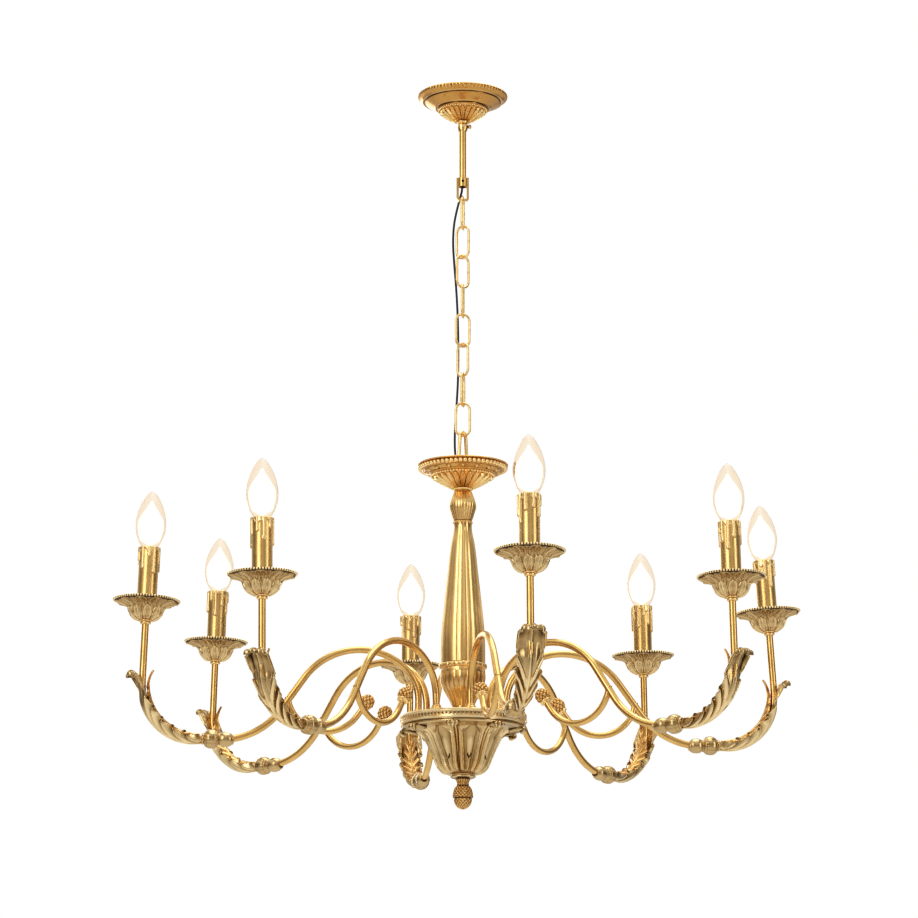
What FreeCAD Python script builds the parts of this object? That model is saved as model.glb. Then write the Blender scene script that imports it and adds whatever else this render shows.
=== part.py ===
"""Eight-arm brass chandelier on a link chain, in millimetres.

The origin is the middle of the ceiling plate's top face, +Z is up, and the lamp hangs below it.
Every sub-part is written to parts/ as a STEP file of its own.
"""
import FreeCAD
import Part

import math
import os

from FreeCAD import Vector

os.makedirs("parts", exist_ok=True)

UP = Vector(0, 0, 1)

# Arms: number, first bearing, and how each was set by hand (turned about its foot, drooped)
ARM_COUNT = 8
FIRST_ARM_DEG = -80.6
ARM_TURN_DEG = (2, -1, 0, -2, 1, 0.5, 0, 0)
ARM_DROOP_DEG = (0, 0, -2, 0, 0, -0.5, -0.5, 2.5)

# Ceiling end
BAR_LENGTH, BAR_WIDTH, BAR_THICK = 90, 16, 2.5
BAR_HOLE_SPACING, BAR_HOLE_R = 70, 2.5
BAR_HUB_R, BAR_HUB_BOTTOM = 9, -8
ROD_R, ROD_BORE_R = 4.1, 2.7
ROD_TOP, ROD_BOTTOM = -1, -110
COLLAR_R, COLLAR_TOP, COLLAR_BOTTOM = 5.6, -32, -44
THUMB_Z = -38.6
SLIP = 0.05
LOOSE = 0.1

# Yoke under the rod
YOKE_TOP, YOKE_BOTTOM = -101, -128.6
YOKE_OUT, YOKE_IN, YOKE_DEPTH = 7.2, 4.4, 6
YOKE_BOSS_R, YOKE_BOSS_BOTTOM = 5.6, -111.5
YOKE_BAR_R = 1.6
YOKE_SCREW_Z = -105.6

# Chain: wire, outer size, clearance where links bear, and the bearing of each link's plane
WIRE_R = 1.5
LINK_LENGTH, LINK_WIDTH = 41.3, 19
LINK_GAP = 0.3
LINK_TURN_DEG = (82, -33, 35, 84, 18, -42, 79, 0)

# Cord beside the chain
CORD_R = 1.3
CORD_ROUTE = (
    (0, 0, -104), (-0.3, 1.0, -114), (-3.4, 5.6, -124.5), (-6.8, 7.4, -137), (-10.4, 7.9, -155),
    (-11.4, 8.3, -178), (-9.7, 9.7, -203), (-7.3, 11.8, -232), (-5.6, 13.2, -266), (-4.9, 13.7, -303),
    (-5.4, 13.3, -340), (-7.4, 12.0, -373), (-9.3, 10.2, -402), (-9.0, 8.0, -425), (-6.4, 5.4, -444),
    (-6.4, 5.4, -457),
)
GROMMET_R, GROMMET_TOP = 2.6, -457

# Top loop and the stack on the central rod
LOOP_WIRE_R = 2.1
LOOP_TURN_DEG = 56
LOOP_ARCH_R, LOOP_FOOT_HALF = 5.8, 10.2
LOOP_DISC_R, LOOP_DISC_TOP = 12.5, -459
DISH_FLOOR, DISH_BOTTOM = -464, -467.4
SPINE_R, SPINE_BORE_R, SPINE_BOTTOM = 5, 3.2, -806
SPINE_HOLE_R = 5.3
NECK_BOTTOM = -471
BALL_BOTTOM = -506
BODY_BOTTOM = -669.6
RING_BOTTOM, RING_R = -680.4, 27.4
PLATE_TOP, PLATE_BOTTOM, PLATE_R, PLATE_THICK = -730, -741.5, 71, 3
BOWL_BOTTOM = -799
FINIAL_TOP, FINIAL_BOTTOM = -799.3, -833.3

# Arm tube, in its own upright plane: x is the distance from the lamp's axis
TUBE_R = 4
FOOT_X, FOOT_TOP, FOOT_LIFT = 50.5, -726.6, 0.4
RISE_TOP = -713
APEX = (115, -657.5)
CREST_R, SLOPE_DEG, SLOPE_RUN = 78, 55.5, 44
LOW_Z = -764
BEND_X, BEND_R = 299.5, 60
LEAN_DEG = 1.5
STEM_TOP = 77
CURL_CENTRE, CURL_R, CURL_TUBE_R = (155, -708), 43, 3.6
CURL_FROM_DEG, CURL_TO_DEG, CURL_END_RUN = -8, -145, 10
KNOP_X = 257.5
STUD_R, STUD_BOTTOM = 3, -741
NUT_R, NUT_BOTTOM = 6, -738

# Candle parts, measured along the candle's own axis from the end of the arm's bend
CUP_COLLAR = (64.4, 70.4, 7)
PAN_R, PAN_BOTTOM, PAN_RIM = 37.7, 70.4, 91
SLEEVE_R, SLEEVE_WALL, SLEEVE_BOTTOM, SLEEVE_TOP = 11.2, 1.1, 78, 151.3
HOLDER_R, HOLDER_BOTTOM, HOLDER_TOP = 9.6, 72.6, 146
CAP_R, CAP_BOTTOM = 6.95, 122
BULB_TIP, BULB_R, BULB_WIDE = 216, 17.5, 178


def save(shape, name):
    """Write one sub-part."""
    shape.exportStep("parts/" + name + ".step")


def at(r, z):
    """A point of an upright outline."""
    return Vector(r, 0, z)


def outline(*stretches):
    """Closed face from stretches of points: two give a line, three an arc, more a smooth curve."""
    edges = []
    for points in stretches:
        places = [at(*p) for p in points]
        if len(places) == 2:
            edges.append(Part.makeLine(*places))
        elif len(places) == 3:
            edges.append(Part.Arc(*places).toShape())
        else:
            curve = Part.BSplineCurve()
            curve.interpolate(places)
            edges.append(curve.toShape())
    return Part.Face(Part.Wire(Part.__sortEdges__(edges)))


def turned(*stretches):
    """Solid of revolution about the Z axis."""
    return outline(*stretches).revolve(Vector(), UP, 360)


def ring(outer, inner, bottom, top):
    """Plain tube on the Z axis; inner 0 gives a solid cylinder."""
    solid = Part.makeCylinder(outer, top - bottom, Vector(0, 0, bottom))
    if inner:
        solid = solid.cut(Part.makeCylinder(inner, top - bottom + 2, Vector(0, 0, bottom - 1)))
    return solid


def hexagon(flats, inner, bottom, top):
    """Hexagonal nut on the Z axis."""
    corner = flats / 2 / math.cos(math.pi / 6)
    points = [Vector(corner * math.cos(a), corner * math.sin(a), bottom)
              for a in (math.radians(60 * i) for i in range(7))]
    nut = Part.Face(Part.makePolygon(points)).extrude(Vector(0, 0, top - bottom))
    return nut.cut(Part.makeCylinder(inner, top - bottom + 2, Vector(0, 0, bottom - 1)))


def swept(edges, radius):
    """Round bar along tangent lines and arcs."""
    path = Part.Wire(edges)
    start = edges[0].valueAt(edges[0].FirstParameter)
    way = edges[0].tangentAt(edges[0].FirstParameter)
    disc = Part.Face(Part.Wire(Part.makeCircle(radius, start, way)))
    return path.makePipe(disc)


def arc_edge(centre, radius, from_deg, to_deg):
    """Arc in the upright plane, angles from +X towards +Z."""
    angles = (math.radians(d) for d in (from_deg, (from_deg + to_deg) / 2, to_deg))
    return Part.Arc(*[at(centre[0] + radius * math.cos(a), centre[1] + radius * math.sin(a))
                      for a in angles]).toShape()


def joined(solids):
    """Several solids made one."""
    whole = solids[0].multiFuse(solids[1:])
    return whole.removeSplitter()


# ---------------------------------------------------------------- ceiling end

def ceiling_crossbar():
    bar = Part.makeBox(BAR_LENGTH, BAR_WIDTH, BAR_THICK, Vector(-BAR_LENGTH / 2, -BAR_WIDTH / 2, -BAR_THICK))
    hub = Part.makeCylinder(BAR_HUB_R, -BAR_HUB_BOTTOM, Vector(0, 0, BAR_HUB_BOTTOM))
    bar = bar.fuse(hub).cut(Part.makeCylinder(ROD_R + LOOSE, 20, Vector(0, 0, -10)))
    for side in (-1, 1):
        bar = bar.cut(Part.makeCylinder(BAR_HOLE_R, 10, Vector(side * BAR_HOLE_SPACING / 2, 0, -5)))
    return bar.removeSplitter()


def ceiling_canopy():
    lip = 0.5
    return turned(
        ((50.5, -lip), (52.5, -3), (50, -6.5)),
        ((50, -6.5), (44, -8.6), (37, -12), (31, -15.6)),
        ((31, -15.6), (25, -21), (17.8, -26.6), (7.2, -32)),
        ((7.2, -32), (ROD_R + 0.5, -32)),
        ((ROD_R + 0.5, -32), (ROD_R + 0.5, -29.6)),
        ((ROD_R + 0.5, -29.6), (17.2, -24.4), (24, -19), (30, -13.8)),
        ((30, -13.8), (36.4, -10), (43.5, -6.6), (49, -4.2)),
        ((49, -4.2), (49, -lip)),
        ((49, -lip), (50.5, -lip)),
    )


def canopy_collar():
    collar = ring(COLLAR_R, ROD_R + SLIP, COLLAR_BOTTOM, COLLAR_TOP)
    flange = ring(6.7, ROD_R + SLIP, COLLAR_TOP - 2.5, COLLAR_TOP)
    hole = Part.makeCylinder(1.5 + SLIP, 10, Vector(0, 0, THUMB_Z), Vector(1, 0, 0))
    return collar.fuse(flange).cut(hole).removeSplitter()


def thumb_screw():
    along = Vector(1, 0, 0)
    shank = Part.makeCylinder(1.5, 2.6, Vector(ROD_R + 0.2, 0, THUMB_Z), along)
    neck = Part.makeCylinder(1.9, 0.8, Vector(COLLAR_R + 0.3, 0, THUMB_Z), along)
    knob = Part.makeCylinder(2.6, 3.4, Vector(COLLAR_R + 1.1, 0, THUMB_Z), along)
    return joined([shank, neck, knob])


def downrod():
    return ring(ROD_R, ROD_BORE_R, ROD_BOTTOM, ROD_TOP)


def rod_yoke():
    boss = ring(YOKE_BOSS_R, 0, YOKE_BOSS_BOTTOM, YOKE_TOP)
    solids = [boss]
    leg_bottom = YOKE_BOTTOM + 2 * YOKE_BAR_R
    for side in (-1, 1):
        corner = [at(side * x, z) for x, z in (
            (YOKE_IN, YOKE_TOP), (YOKE_OUT, YOKE_TOP), (YOKE_OUT, leg_bottom), (YOKE_IN, YOKE_BOTTOM - 0.6))]
        face = Part.Face(Part.makePolygon(corner + corner[:1]))
        solids.append(face.extrude(Vector(0, YOKE_DEPTH, 0)).translated(Vector(0, -YOKE_DEPTH / 2, 0)))
    axle = Part.makeCylinder(YOKE_BAR_R, 2 * YOKE_IN + 1, Vector(-YOKE_IN - 0.5, 0, yoke_bar_z()), Vector(1, 0, 0))
    yoke = joined(solids + [axle])
    yoke = yoke.cut(Part.makeCylinder(ROD_R + SLIP, YOKE_TOP - YOKE_BOSS_BOTTOM + 2, Vector(0, 0, YOKE_BOSS_BOTTOM - 1)))
    return yoke.cut(Part.makeCylinder(1.5 + SLIP, 10, Vector(0, 0, YOKE_SCREW_Z), Vector(0, -1, 0)))


def yoke_bar_z():
    return YOKE_BOTTOM + YOKE_BAR_R


def yoke_screw():
    screw = Part.makeCylinder(1.5, 1.4, Vector(0, -ROD_R - 0.15, YOKE_SCREW_Z), Vector(0, -1, 0))
    socket = Part.makeCylinder(0.8, 1, Vector(0, -ROD_R - 0.75, YOKE_SCREW_Z), Vector(0, -1, 0))
    return screw.cut(socket)


# ---------------------------------------------------------------- chain and cord

def link_top(number):
    """Top of a link's outer outline; each hangs in the one above with a small gap."""
    first = YOKE_BOTTOM + 2 * YOKE_BAR_R + LINK_GAP + 2 * WIRE_R
    pitch = LINK_LENGTH - 4 * WIRE_R - LINK_GAP
    return first - pitch * number


def chain_link(number):
    bend_r = LINK_WIDTH / 2 - WIRE_R
    straight = LINK_LENGTH - LINK_WIDTH
    high = link_top(number) - LINK_WIDTH / 2
    low = high - straight
    upper = arc_edge((0, high), bend_r, 0, 180)
    lower = arc_edge((0, low), bend_r, 180, 360)
    left = Part.makeLine(at(-bend_r, high), at(-bend_r, low))
    right = Part.makeLine(at(bend_r, low), at(bend_r, high))
    halves = [swept([upper, left], WIRE_R), swept([lower, right], WIRE_R)]
    link = joined(halves)
    link.rotate(Vector(), UP, LINK_TURN_DEG[number])
    return link


def power_cord():
    """Straight runs joined by arcs tangent to both, as large as the shorter run allows."""
    points = [Vector(*p) for p in CORD_ROUTE]
    edges = []
    last = points[0]
    for before, here, after in zip(points, points[1:], points[2:]):
        inward = (here - before).normalize()
        outward = (after - here).normalize()
        turn = inward.getAngle(outward)
        reach = 0.45 * min((here - before).Length, (after - here).Length)
        start = here - inward * reach
        end = here + outward * reach
        chord = (start + end) * 0.5
        radius = reach / math.tan(turn / 2)
        middle = chord + (here - chord).normalize() * radius * (1 - math.cos(turn / 2))
        print("cord radius %.1f" % radius)
        edges.append(Part.makeLine(last, start))
        edges.append(Part.Arc(start, middle, end).toShape())
        last = end
    edges.append(Part.makeLine(last, points[-1]))
    length = sum(e.Length for e in edges)
    cord = swept(edges, CORD_R)
    fill = cord.Volume / (math.pi * CORD_R ** 2 * length)
    print("cord length %.1f, volume over section times length %.4f" % (length, fill))
    return cord


def cord_grommet():
    x, y, end = CORD_ROUTE[-1]
    return Part.makeCylinder(GROMMET_R, end - DISH_FLOOR, Vector(x, y, DISH_FLOOR))


# ---------------------------------------------------------------- body on the central rod

def loop_top():
    """Outer top of the loop, which bears on the last link's lower bend."""
    inner_bottom = link_top(len(LINK_TURN_DEG) - 1) - LINK_LENGTH + 2 * WIRE_R
    return inner_bottom + LINK_GAP + 2 * LOOP_WIRE_R


def top_loop():
    crown = loop_top() - LOOP_WIRE_R - LOOP_ARCH_R
    foot = LOOP_DISC_TOP - 1
    tilt = math.degrees(math.atan2(LOOP_FOOT_HALF - LOOP_ARCH_R, crown - foot))
    arch = arc_edge((0, crown), LOOP_ARCH_R, tilt, 180 - tilt)
    right, left = arch.valueAt(arch.FirstParameter), arch.valueAt(arch.LastParameter)
    legs = [swept([Part.makeLine(top, at(side * LOOP_FOOT_HALF, foot))], LOOP_WIRE_R)
            for top, side in ((right, 1), (left, -1))]
    eye = joined([swept([arch], LOOP_WIRE_R)] + legs)
    eye.rotate(Vector(), UP, LOOP_TURN_DEG)
    disc = ring(LOOP_DISC_R, SPINE_R + LOOSE, DISH_FLOOR, LOOP_DISC_TOP)
    x, y, _ = CORD_ROUTE[-1]
    hole = Part.makeCylinder(GROMMET_R + SLIP, 30, Vector(x, y, DISH_FLOOR - 5))
    return joined([eye, disc]).cut(hole)


def top_dish():
    dish = turned(
        ((50.2, -440.5), (52.3, -444), (49.4, -447.6)),
        ((49.4, -447.6), (44, -448.8), (40, -450.8), (36, -453.6)),
        ((36, -453.6), (30, -458), (21, -463.4), (14, DISH_BOTTOM)),
        ((14, DISH_BOTTOM), (SPINE_HOLE_R, DISH_BOTTOM)),
        ((SPINE_HOLE_R, DISH_BOTTOM), (SPINE_HOLE_R, DISH_FLOOR)),
        ((SPINE_HOLE_R, DISH_FLOOR), (16, DISH_FLOOR)),
        ((16, DISH_FLOOR), (21, -461), (29, -455.8), (35, -451.6)),
        ((35, -451.6), (39, -448.8), (43, -446.8), (47.6, -445.4)),
        ((47.6, -445.4), (47.6, -440.5)),
        ((47.6, -440.5), (50.2, -440.5)),
    )
    x, y, _ = CORD_ROUTE[-1]
    return dish.cut(Part.makeCylinder(GROMMET_R - 0.6, 20, Vector(x, y, DISH_BOTTOM - 5)))


def neck_ring():
    return turned(
        ((9.9, DISH_BOTTOM), (10.9, (DISH_BOTTOM + NECK_BOTTOM) / 2), (9.9, NECK_BOTTOM)),
        ((9.9, NECK_BOTTOM), (9, NECK_BOTTOM)),
        ((9, NECK_BOTTOM), (9, DISH_BOTTOM)),
        ((9, DISH_BOTTOM), (9.9, DISH_BOTTOM)),
    )


def column_ball():
    return turned(
        ((9.8, NECK_BOTTOM), (12.6, -479), (15.2, -489.4), (12.6, -497.6), (10.6, BALL_BOTTOM)),
        ((10.6, BALL_BOTTOM), (SPINE_HOLE_R, BALL_BOTTOM)),
        ((SPINE_HOLE_R, BALL_BOTTOM), (SPINE_HOLE_R, NECK_BOTTOM)),
        ((SPINE_HOLE_R, NECK_BOTTOM), (9.8, NECK_BOTTOM)),
    )


def column_body():
    """Hollow casting with an end wall round the rod at both ends."""
    hollow = turned(
        ((7.3, -516), (10, -532), (14, -565), (17.7, -599), (20.9, -631), (22, -655), (22, -664)),
        ((22, -664), (0, -664)),
        ((0, -664), (0, -516)),
        ((0, -516), (7.3, -516)),
    )
    return turned(
        ((10.2, BALL_BOTTOM), (10.3, -514), (13.3, -532), (17.3, -565), (21, -599), (24.2, -631),
         (25.2, -655), (25.1, BODY_BOTTOM)),
        ((25.1, BODY_BOTTOM), (SPINE_HOLE_R, BODY_BOTTOM)),
        ((SPINE_HOLE_R, BODY_BOTTOM), (SPINE_HOLE_R, BALL_BOTTOM)),
        ((SPINE_HOLE_R, BALL_BOTTOM), (10.2, BALL_BOTTOM)),
    ).cut(hollow)


def column_ring():
    return turned(
        ((RING_R - 2, BODY_BOTTOM), (RING_R, (BODY_BOTTOM + RING_BOTTOM) / 2), (RING_R - 2, RING_BOTTOM)),
        ((RING_R - 2, RING_BOTTOM), (SPINE_HOLE_R, RING_BOTTOM)),
        ((SPINE_HOLE_R, RING_BOTTOM), (SPINE_HOLE_R, BODY_BOTTOM)),
        ((SPINE_HOLE_R, BODY_BOTTOM), (RING_R - 2, BODY_BOTTOM)),
    )


def column_foot():
    return turned(
        ((25.6, RING_BOTTOM), (25.2, -689), (21.4, -701), (15.4, -711), (12.2, -719), (13.4, PLATE_TOP)),
        ((13.4, PLATE_TOP), (SPINE_HOLE_R, PLATE_TOP)),
        ((SPINE_HOLE_R, PLATE_TOP), (SPINE_HOLE_R, RING_BOTTOM)),
        ((SPINE_HOLE_R, RING_BOTTOM), (25.6, RING_BOTTOM)),
    )


def central_rod():
    return ring(SPINE_R, SPINE_BORE_R, SPINE_BOTTOM, LOOP_DISC_TOP)


def arm_bearings():
    return [FIRST_ARM_DEG + 360 / ARM_COUNT * i for i in range(ARM_COUNT)]


def arm_plate():
    plate = ring(PLATE_R, SPINE_HOLE_R, PLATE_TOP - PLATE_THICK, PLATE_TOP)
    skirt = turned(
        ((PLATE_R, PLATE_TOP - PLATE_THICK), (PLATE_R - 1, PLATE_BOTTOM)),
        ((PLATE_R - 1, PLATE_BOTTOM), (PLATE_R - 3.5, PLATE_BOTTOM)),
        ((PLATE_R - 3.5, PLATE_BOTTOM), (PLATE_R - 3.5, PLATE_TOP - PLATE_THICK)),
        ((PLATE_R - 3.5, PLATE_TOP - PLATE_THICK), (PLATE_R, PLATE_TOP - PLATE_THICK)),
    )
    plate = joined([plate, skirt])
    for bearing in arm_bearings():
        a = math.radians(bearing)
        middle = Vector(FOOT_X * math.cos(a), FOOT_X * math.sin(a), PLATE_TOP - 5)
        plate = plate.cut(Part.makeCylinder(STUD_R + 0.8, 10, middle))
    return plate


def bowl():
    return turned(
        ((69.5, PLATE_BOTTOM), (69.5, -744)),
        ((69.5, -744), (54, -745.5), (46, -748.6), (42, -753.4), (37, -763), (33.4, -771), (30, -780),
         (27.2, -787), (22.6, -792.4), (14.5, -795.2)),
        ((14.5, -795.2), (14.5, BOWL_BOTTOM)),
        ((14.5, BOWL_BOTTOM), (SPINE_HOLE_R, BOWL_BOTTOM)),
        ((SPINE_HOLE_R, BOWL_BOTTOM), (SPINE_HOLE_R, -794)),
        ((SPINE_HOLE_R, -794), (13, -792.6)),
        ((13, -792.6), (20.6, -789.8), (24.6, -785), (27.4, -778.6), (31, -769), (34.6, -761), (39.6, -751)),
        ((39.6, -751), (42, PLATE_BOTTOM)),
        ((42, PLATE_BOTTOM), (69.5, PLATE_BOTTOM)),
    )


def finial():
    body = turned(
        ((8.2, FINIAL_TOP), (6.3, -803.5), (7, -807.4)),
        ((7, -807.4), (10.6, -813), (11.7, -819.6), (10.4, -827), (6, -832), (0, FINIAL_BOTTOM)),
        ((0, FINIAL_BOTTOM), (0, FINIAL_TOP)),
        ((0, FINIAL_TOP), (8.2, FINIAL_TOP)),
    )
    return body.cut(Part.makeCylinder(SPINE_R + SLIP, FINIAL_TOP + 1 + 807, Vector(0, 0, -807)))


def wire_connector():
    under = PLATE_TOP - PLATE_THICK
    return Part.makeBox(24, 16, 11, Vector(9, -8, under - 11))


# ---------------------------------------------------------------- one arm, built along +X

def arm_path():
    """Foot, rise over the crest, slope, level run, bend and stem, all tangent."""
    half = 50
    c, s = math.cos(math.radians(half)), math.sin(math.radians(half))
    run, rise = APEX[0] - FOOT_X, APEX[1] - RISE_TOP
    determinant = (1 - c) * (1 - s) - c * s
    first_r = (run * (1 - s) - rise * c) / determinant
    second_r = ((1 - c) * rise - s * run) / determinant
    slope = math.radians(SLOPE_DEG)
    crest_end = (APEX[0] + CREST_R * math.sin(slope), APEX[1] - CREST_R * (1 - math.cos(slope)))
    slope_end = (crest_end[0] + SLOPE_RUN * math.cos(slope), crest_end[1] - SLOPE_RUN * math.sin(slope))
    sag_r = (slope_end[1] - LOW_Z) / (1 - math.cos(slope))
    sag_x = slope_end[0] + sag_r * math.sin(slope)
    bend_end = math.radians(LEAN_DEG)
    lift = at(BEND_X + BEND_R * math.cos(bend_end), LOW_Z + BEND_R + BEND_R * math.sin(bend_end))
    stem = lift + Vector(-math.sin(bend_end), 0, math.cos(bend_end)) * STEM_TOP
    edges = [
        Part.makeLine(at(FOOT_X, FOOT_TOP), at(FOOT_X, RISE_TOP)),
        arc_edge((FOOT_X + first_r, RISE_TOP), first_r, 180, 180 - half),
        arc_edge((APEX[0], APEX[1] - second_r), second_r, 180 - half, 90),
        arc_edge((APEX[0], APEX[1] - CREST_R), CREST_R, 90, 90 - SLOPE_DEG),
        Part.makeLine(at(*crest_end), at(*slope_end)),
        arc_edge((sag_x, LOW_Z + sag_r), sag_r, 270 - SLOPE_DEG, 270),
        Part.makeLine(at(sag_x, LOW_Z), at(BEND_X, LOW_Z)),
        arc_edge((BEND_X, LOW_Z + BEND_R), BEND_R, -90, LEAN_DEG),
        Part.makeLine(lift, stem),
    ]
    return edges


def curl_path():
    end = math.radians(CURL_TO_DEG)
    tip = at(CURL_CENTRE[0] + CURL_R * math.cos(end), CURL_CENTRE[1] + CURL_R * math.sin(end))
    way = at(math.sin(end), -math.cos(end))
    return [arc_edge(CURL_CENTRE, CURL_R, CURL_FROM_DEG, CURL_TO_DEG), Part.makeLine(tip, tip + way * CURL_END_RUN)]


def on_bud(shape):
    """Move a shape from the Z axis to the end of the curl."""
    last = curl_path()[-1]
    shape.rotate(Vector(), Vector(0, 1, 0), -CURL_TO_DEG - 180)
    shape.translate(last.valueAt(last.LastParameter))
    return shape


def on_candle(shape):
    """Move a shape from the Z axis to the candle's axis."""
    shape.rotate(Vector(), Vector(0, 1, 0), -LEAN_DEG)
    bend_end = math.radians(LEAN_DEG)
    shape.translate(at(BEND_X + BEND_R * math.cos(bend_end), LOW_Z + BEND_R + BEND_R * math.sin(bend_end)))
    return shape


def on_arm(shape, number):
    """Set a shape built along +X on arm number: droop, turn about the foot, then its bearing."""
    foot = Vector(FOOT_X, 0, PLATE_TOP)
    placed = shape.copy()
    placed.rotate(foot, Vector(0, 1, 0), ARM_DROOP_DEG[number])
    placed.rotate(foot, UP, ARM_TURN_DEG[number])
    placed.rotate(Vector(), UP, arm_bearings()[number])
    return placed


def on_all_arms(shape):
    return Part.makeCompound([on_arm(shape, i) for i in range(ARM_COUNT)])


def arm_tube():
    flange = Part.makeCylinder(7, 3, at(FOOT_X, PLATE_TOP + FOOT_LIFT))
    stud = Part.makeCylinder(STUD_R, PLATE_TOP - STUD_BOTTOM + 2, at(FOOT_X, STUD_BOTTOM))
    tube = swept(arm_path(), TUBE_R)
    curl = swept(curl_path(), CURL_TUBE_R)
    return joined([tube, curl, flange, stud])


def arm_nut():
    nut = hexagon(2 * NUT_R * 0.87, STUD_R + SLIP, NUT_BOTTOM, PLATE_TOP - PLATE_THICK - FOOT_LIFT)
    nut.translate(at(FOOT_X, 0))
    return nut


def knop():
    """Small ball, neck and large ball in one turning, strung on the tube."""
    small, neck, large = 8.4, 5.6, 10.7
    balls = turned(
        ((0, 0), (5.4, 0)),
        ((5.4, 0), (small, 7.4), (neck, 14.8)),
        ((neck, 14.8), (neck, 16)),
        ((neck, 16), (large, 24.6), (6, 33.2)),
        ((6, 33.2), (0, 33.2)),
        ((0, 33.2), (0, 0)),
    )
    balls.rotate(Vector(), Vector(0, 1, 0), 90)
    balls.translate(at(KNOP_X, LOW_Z + 0.4))
    return balls.cut(swept(arm_path()[5:7], TUBE_R + SLIP))


def outer_leaf():
    """Channel round the outside of the bend, its tip curled outwards."""
    c = (BEND_X, LOW_Z + BEND_R)
    back, inside, edge, half = BEND_R + 7, BEND_R + TUBE_R + 0.4, BEND_R - 7, 10.5
    tip = Part.Face(Part.Wire(Part.__sortEdges__([
        Part.Arc(at(c[0] + inside, c[1]), at(c[0] + inside + 5, c[1] + 7.5), at(380, c[1] + 10.5)).toShape(),
        Part.makeLine(at(380, c[1] + 10.5), at(380, c[1] + 7.5)),
        Part.Arc(at(380, c[1] + 7.5), at(c[0] + back + 4.5, c[1] + 4.5), at(c[0] + back, c[1])).toShape(),
        Part.makeLine(at(c[0] + back, c[1]), at(c[0] + inside, c[1])),
    ]))).extrude(Vector(0, 2 * half, 0)).translated(Vector(0, -half, 0))
    back_wall = sector(c, inside, back, -94, 0, half)
    sides = sector(c, edge, back, -88, -8, half).cut(sector(c, edge - 5, inside, -90, -6, half - 2.2))
    return joined([back_wall, sides, tip])


def sector(centre, inner, outer, from_deg, to_deg, half):
    """Slab between two arcs, of the given half width."""
    big, small = arc_edge(centre, outer, from_deg, to_deg), arc_edge(centre, inner, from_deg, to_deg)
    ends = [Part.makeLine(big.valueAt(p), small.valueAt(q)) for p, q in (
        (big.FirstParameter, small.FirstParameter), (big.LastParameter, small.LastParameter))]
    face = Part.Face(Part.Wire(Part.__sortEdges__([big, ends[1], small, ends[0]])))
    return face.extrude(Vector(0, 2 * half, 0)).translated(Vector(0, -half, 0))


def inner_leaf():
    """Narrower leaf along the hollow side of the bend."""
    return sector((BEND_X, LOW_Z + BEND_R), BEND_R - 12, BEND_R - 7.4, -84, -2, 7.5)


def curl_bud():
    egg = turned(
        ((5.2, 3), (7.6, 6), (8.3, 11), (6.4, 16), (0, 18.6)),
        ((0, 18.6), (0, 3)),
        ((0, 3), (5.2, 3)),
    )
    return on_bud(egg)


def bud_ring():
    collar = ring(6.4, 0, 0, 3)
    return on_bud(collar)


def cup_collar():
    bottom, top, radius = CUP_COLLAR
    return on_candle(ring(radius, TUBE_R + LOOSE, bottom, top))


def bobeche():
    return on_candle(turned(
        ((6.2, PAN_BOTTOM), (10.4, 72.4), (14, 76), (17.4, 80.6), (22, 84.8), (29, 87.6), (36.2, 88.2)),
        ((36.2, 88.2), (PAN_R, 89.6), (36.2, PAN_RIM)),
        ((36.2, PAN_RIM), (28.4, 90), (21, 87), (15.8, 82.4), (13.2, 78.6), (10, 75.2), (6, 73)),
        ((6, 73), (TUBE_R + LOOSE, 73)),
        ((TUBE_R + LOOSE, 73), (TUBE_R + LOOSE, PAN_BOTTOM)),
        ((TUBE_R + LOOSE, PAN_BOTTOM), (6.2, PAN_BOTTOM)),
    ))


def lamp_holder():
    body = ring(HOLDER_R, 0, HOLDER_BOTTOM + 4.6, HOLDER_TOP)
    base = ring(6, 0, HOLDER_BOTTOM + 0.6, HOLDER_BOTTOM + 4.6)
    socket = Part.makeCylinder(CAP_R + 0.08, 60, Vector(0, 0, CAP_BOTTOM - 1))
    nipple = Part.makeCylinder(TUBE_R + LOOSE, 6, Vector(0, 0, HOLDER_BOTTOM))
    return on_candle(joined([body, base]).cut(socket).cut(nipple))


def candle_sleeve():
    return on_candle(ring(SLEEVE_R, SLEEVE_R - SLEEVE_WALL, SLEEVE_BOTTOM, SLEEVE_TOP))


def bulb():
    """Screw cap and hollow glass flame in one."""
    glass = 1.2
    hollow = turned(
        ((0, CAP_BOTTOM - 1), (2, CAP_BOTTOM - 1)),
        ((2, CAP_BOTTOM - 1), (2, HOLDER_TOP)),
        ((2, HOLDER_TOP), (8, SLEEVE_TOP + 1), (14.6 - glass, 163), (BULB_R - glass, BULB_WIDE),
         (14.4 - glass, 194), (7.6 - glass, 207), (0, BULB_TIP - 3)),
        ((0, BULB_TIP - 3), (0, CAP_BOTTOM - 1)),
    )
    flame = turned(
        ((0, CAP_BOTTOM), (CAP_R, CAP_BOTTOM)),
        ((CAP_R, CAP_BOTTOM), (CAP_R, HOLDER_TOP)),
        ((CAP_R, HOLDER_TOP), (9.2, SLEEVE_TOP + 1), (14.6, 163), (BULB_R, BULB_WIDE), (14.4, 194),
         (7.6, 207), (1.6, BULB_TIP - 0.6)),
        ((1.6, BULB_TIP - 0.6), (0, BULB_TIP)),
        ((0, BULB_TIP), (0, CAP_BOTTOM)),
    )
    return on_candle(flame.cut(hollow))


# ---------------------------------------------------------------- write every sub-part

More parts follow.
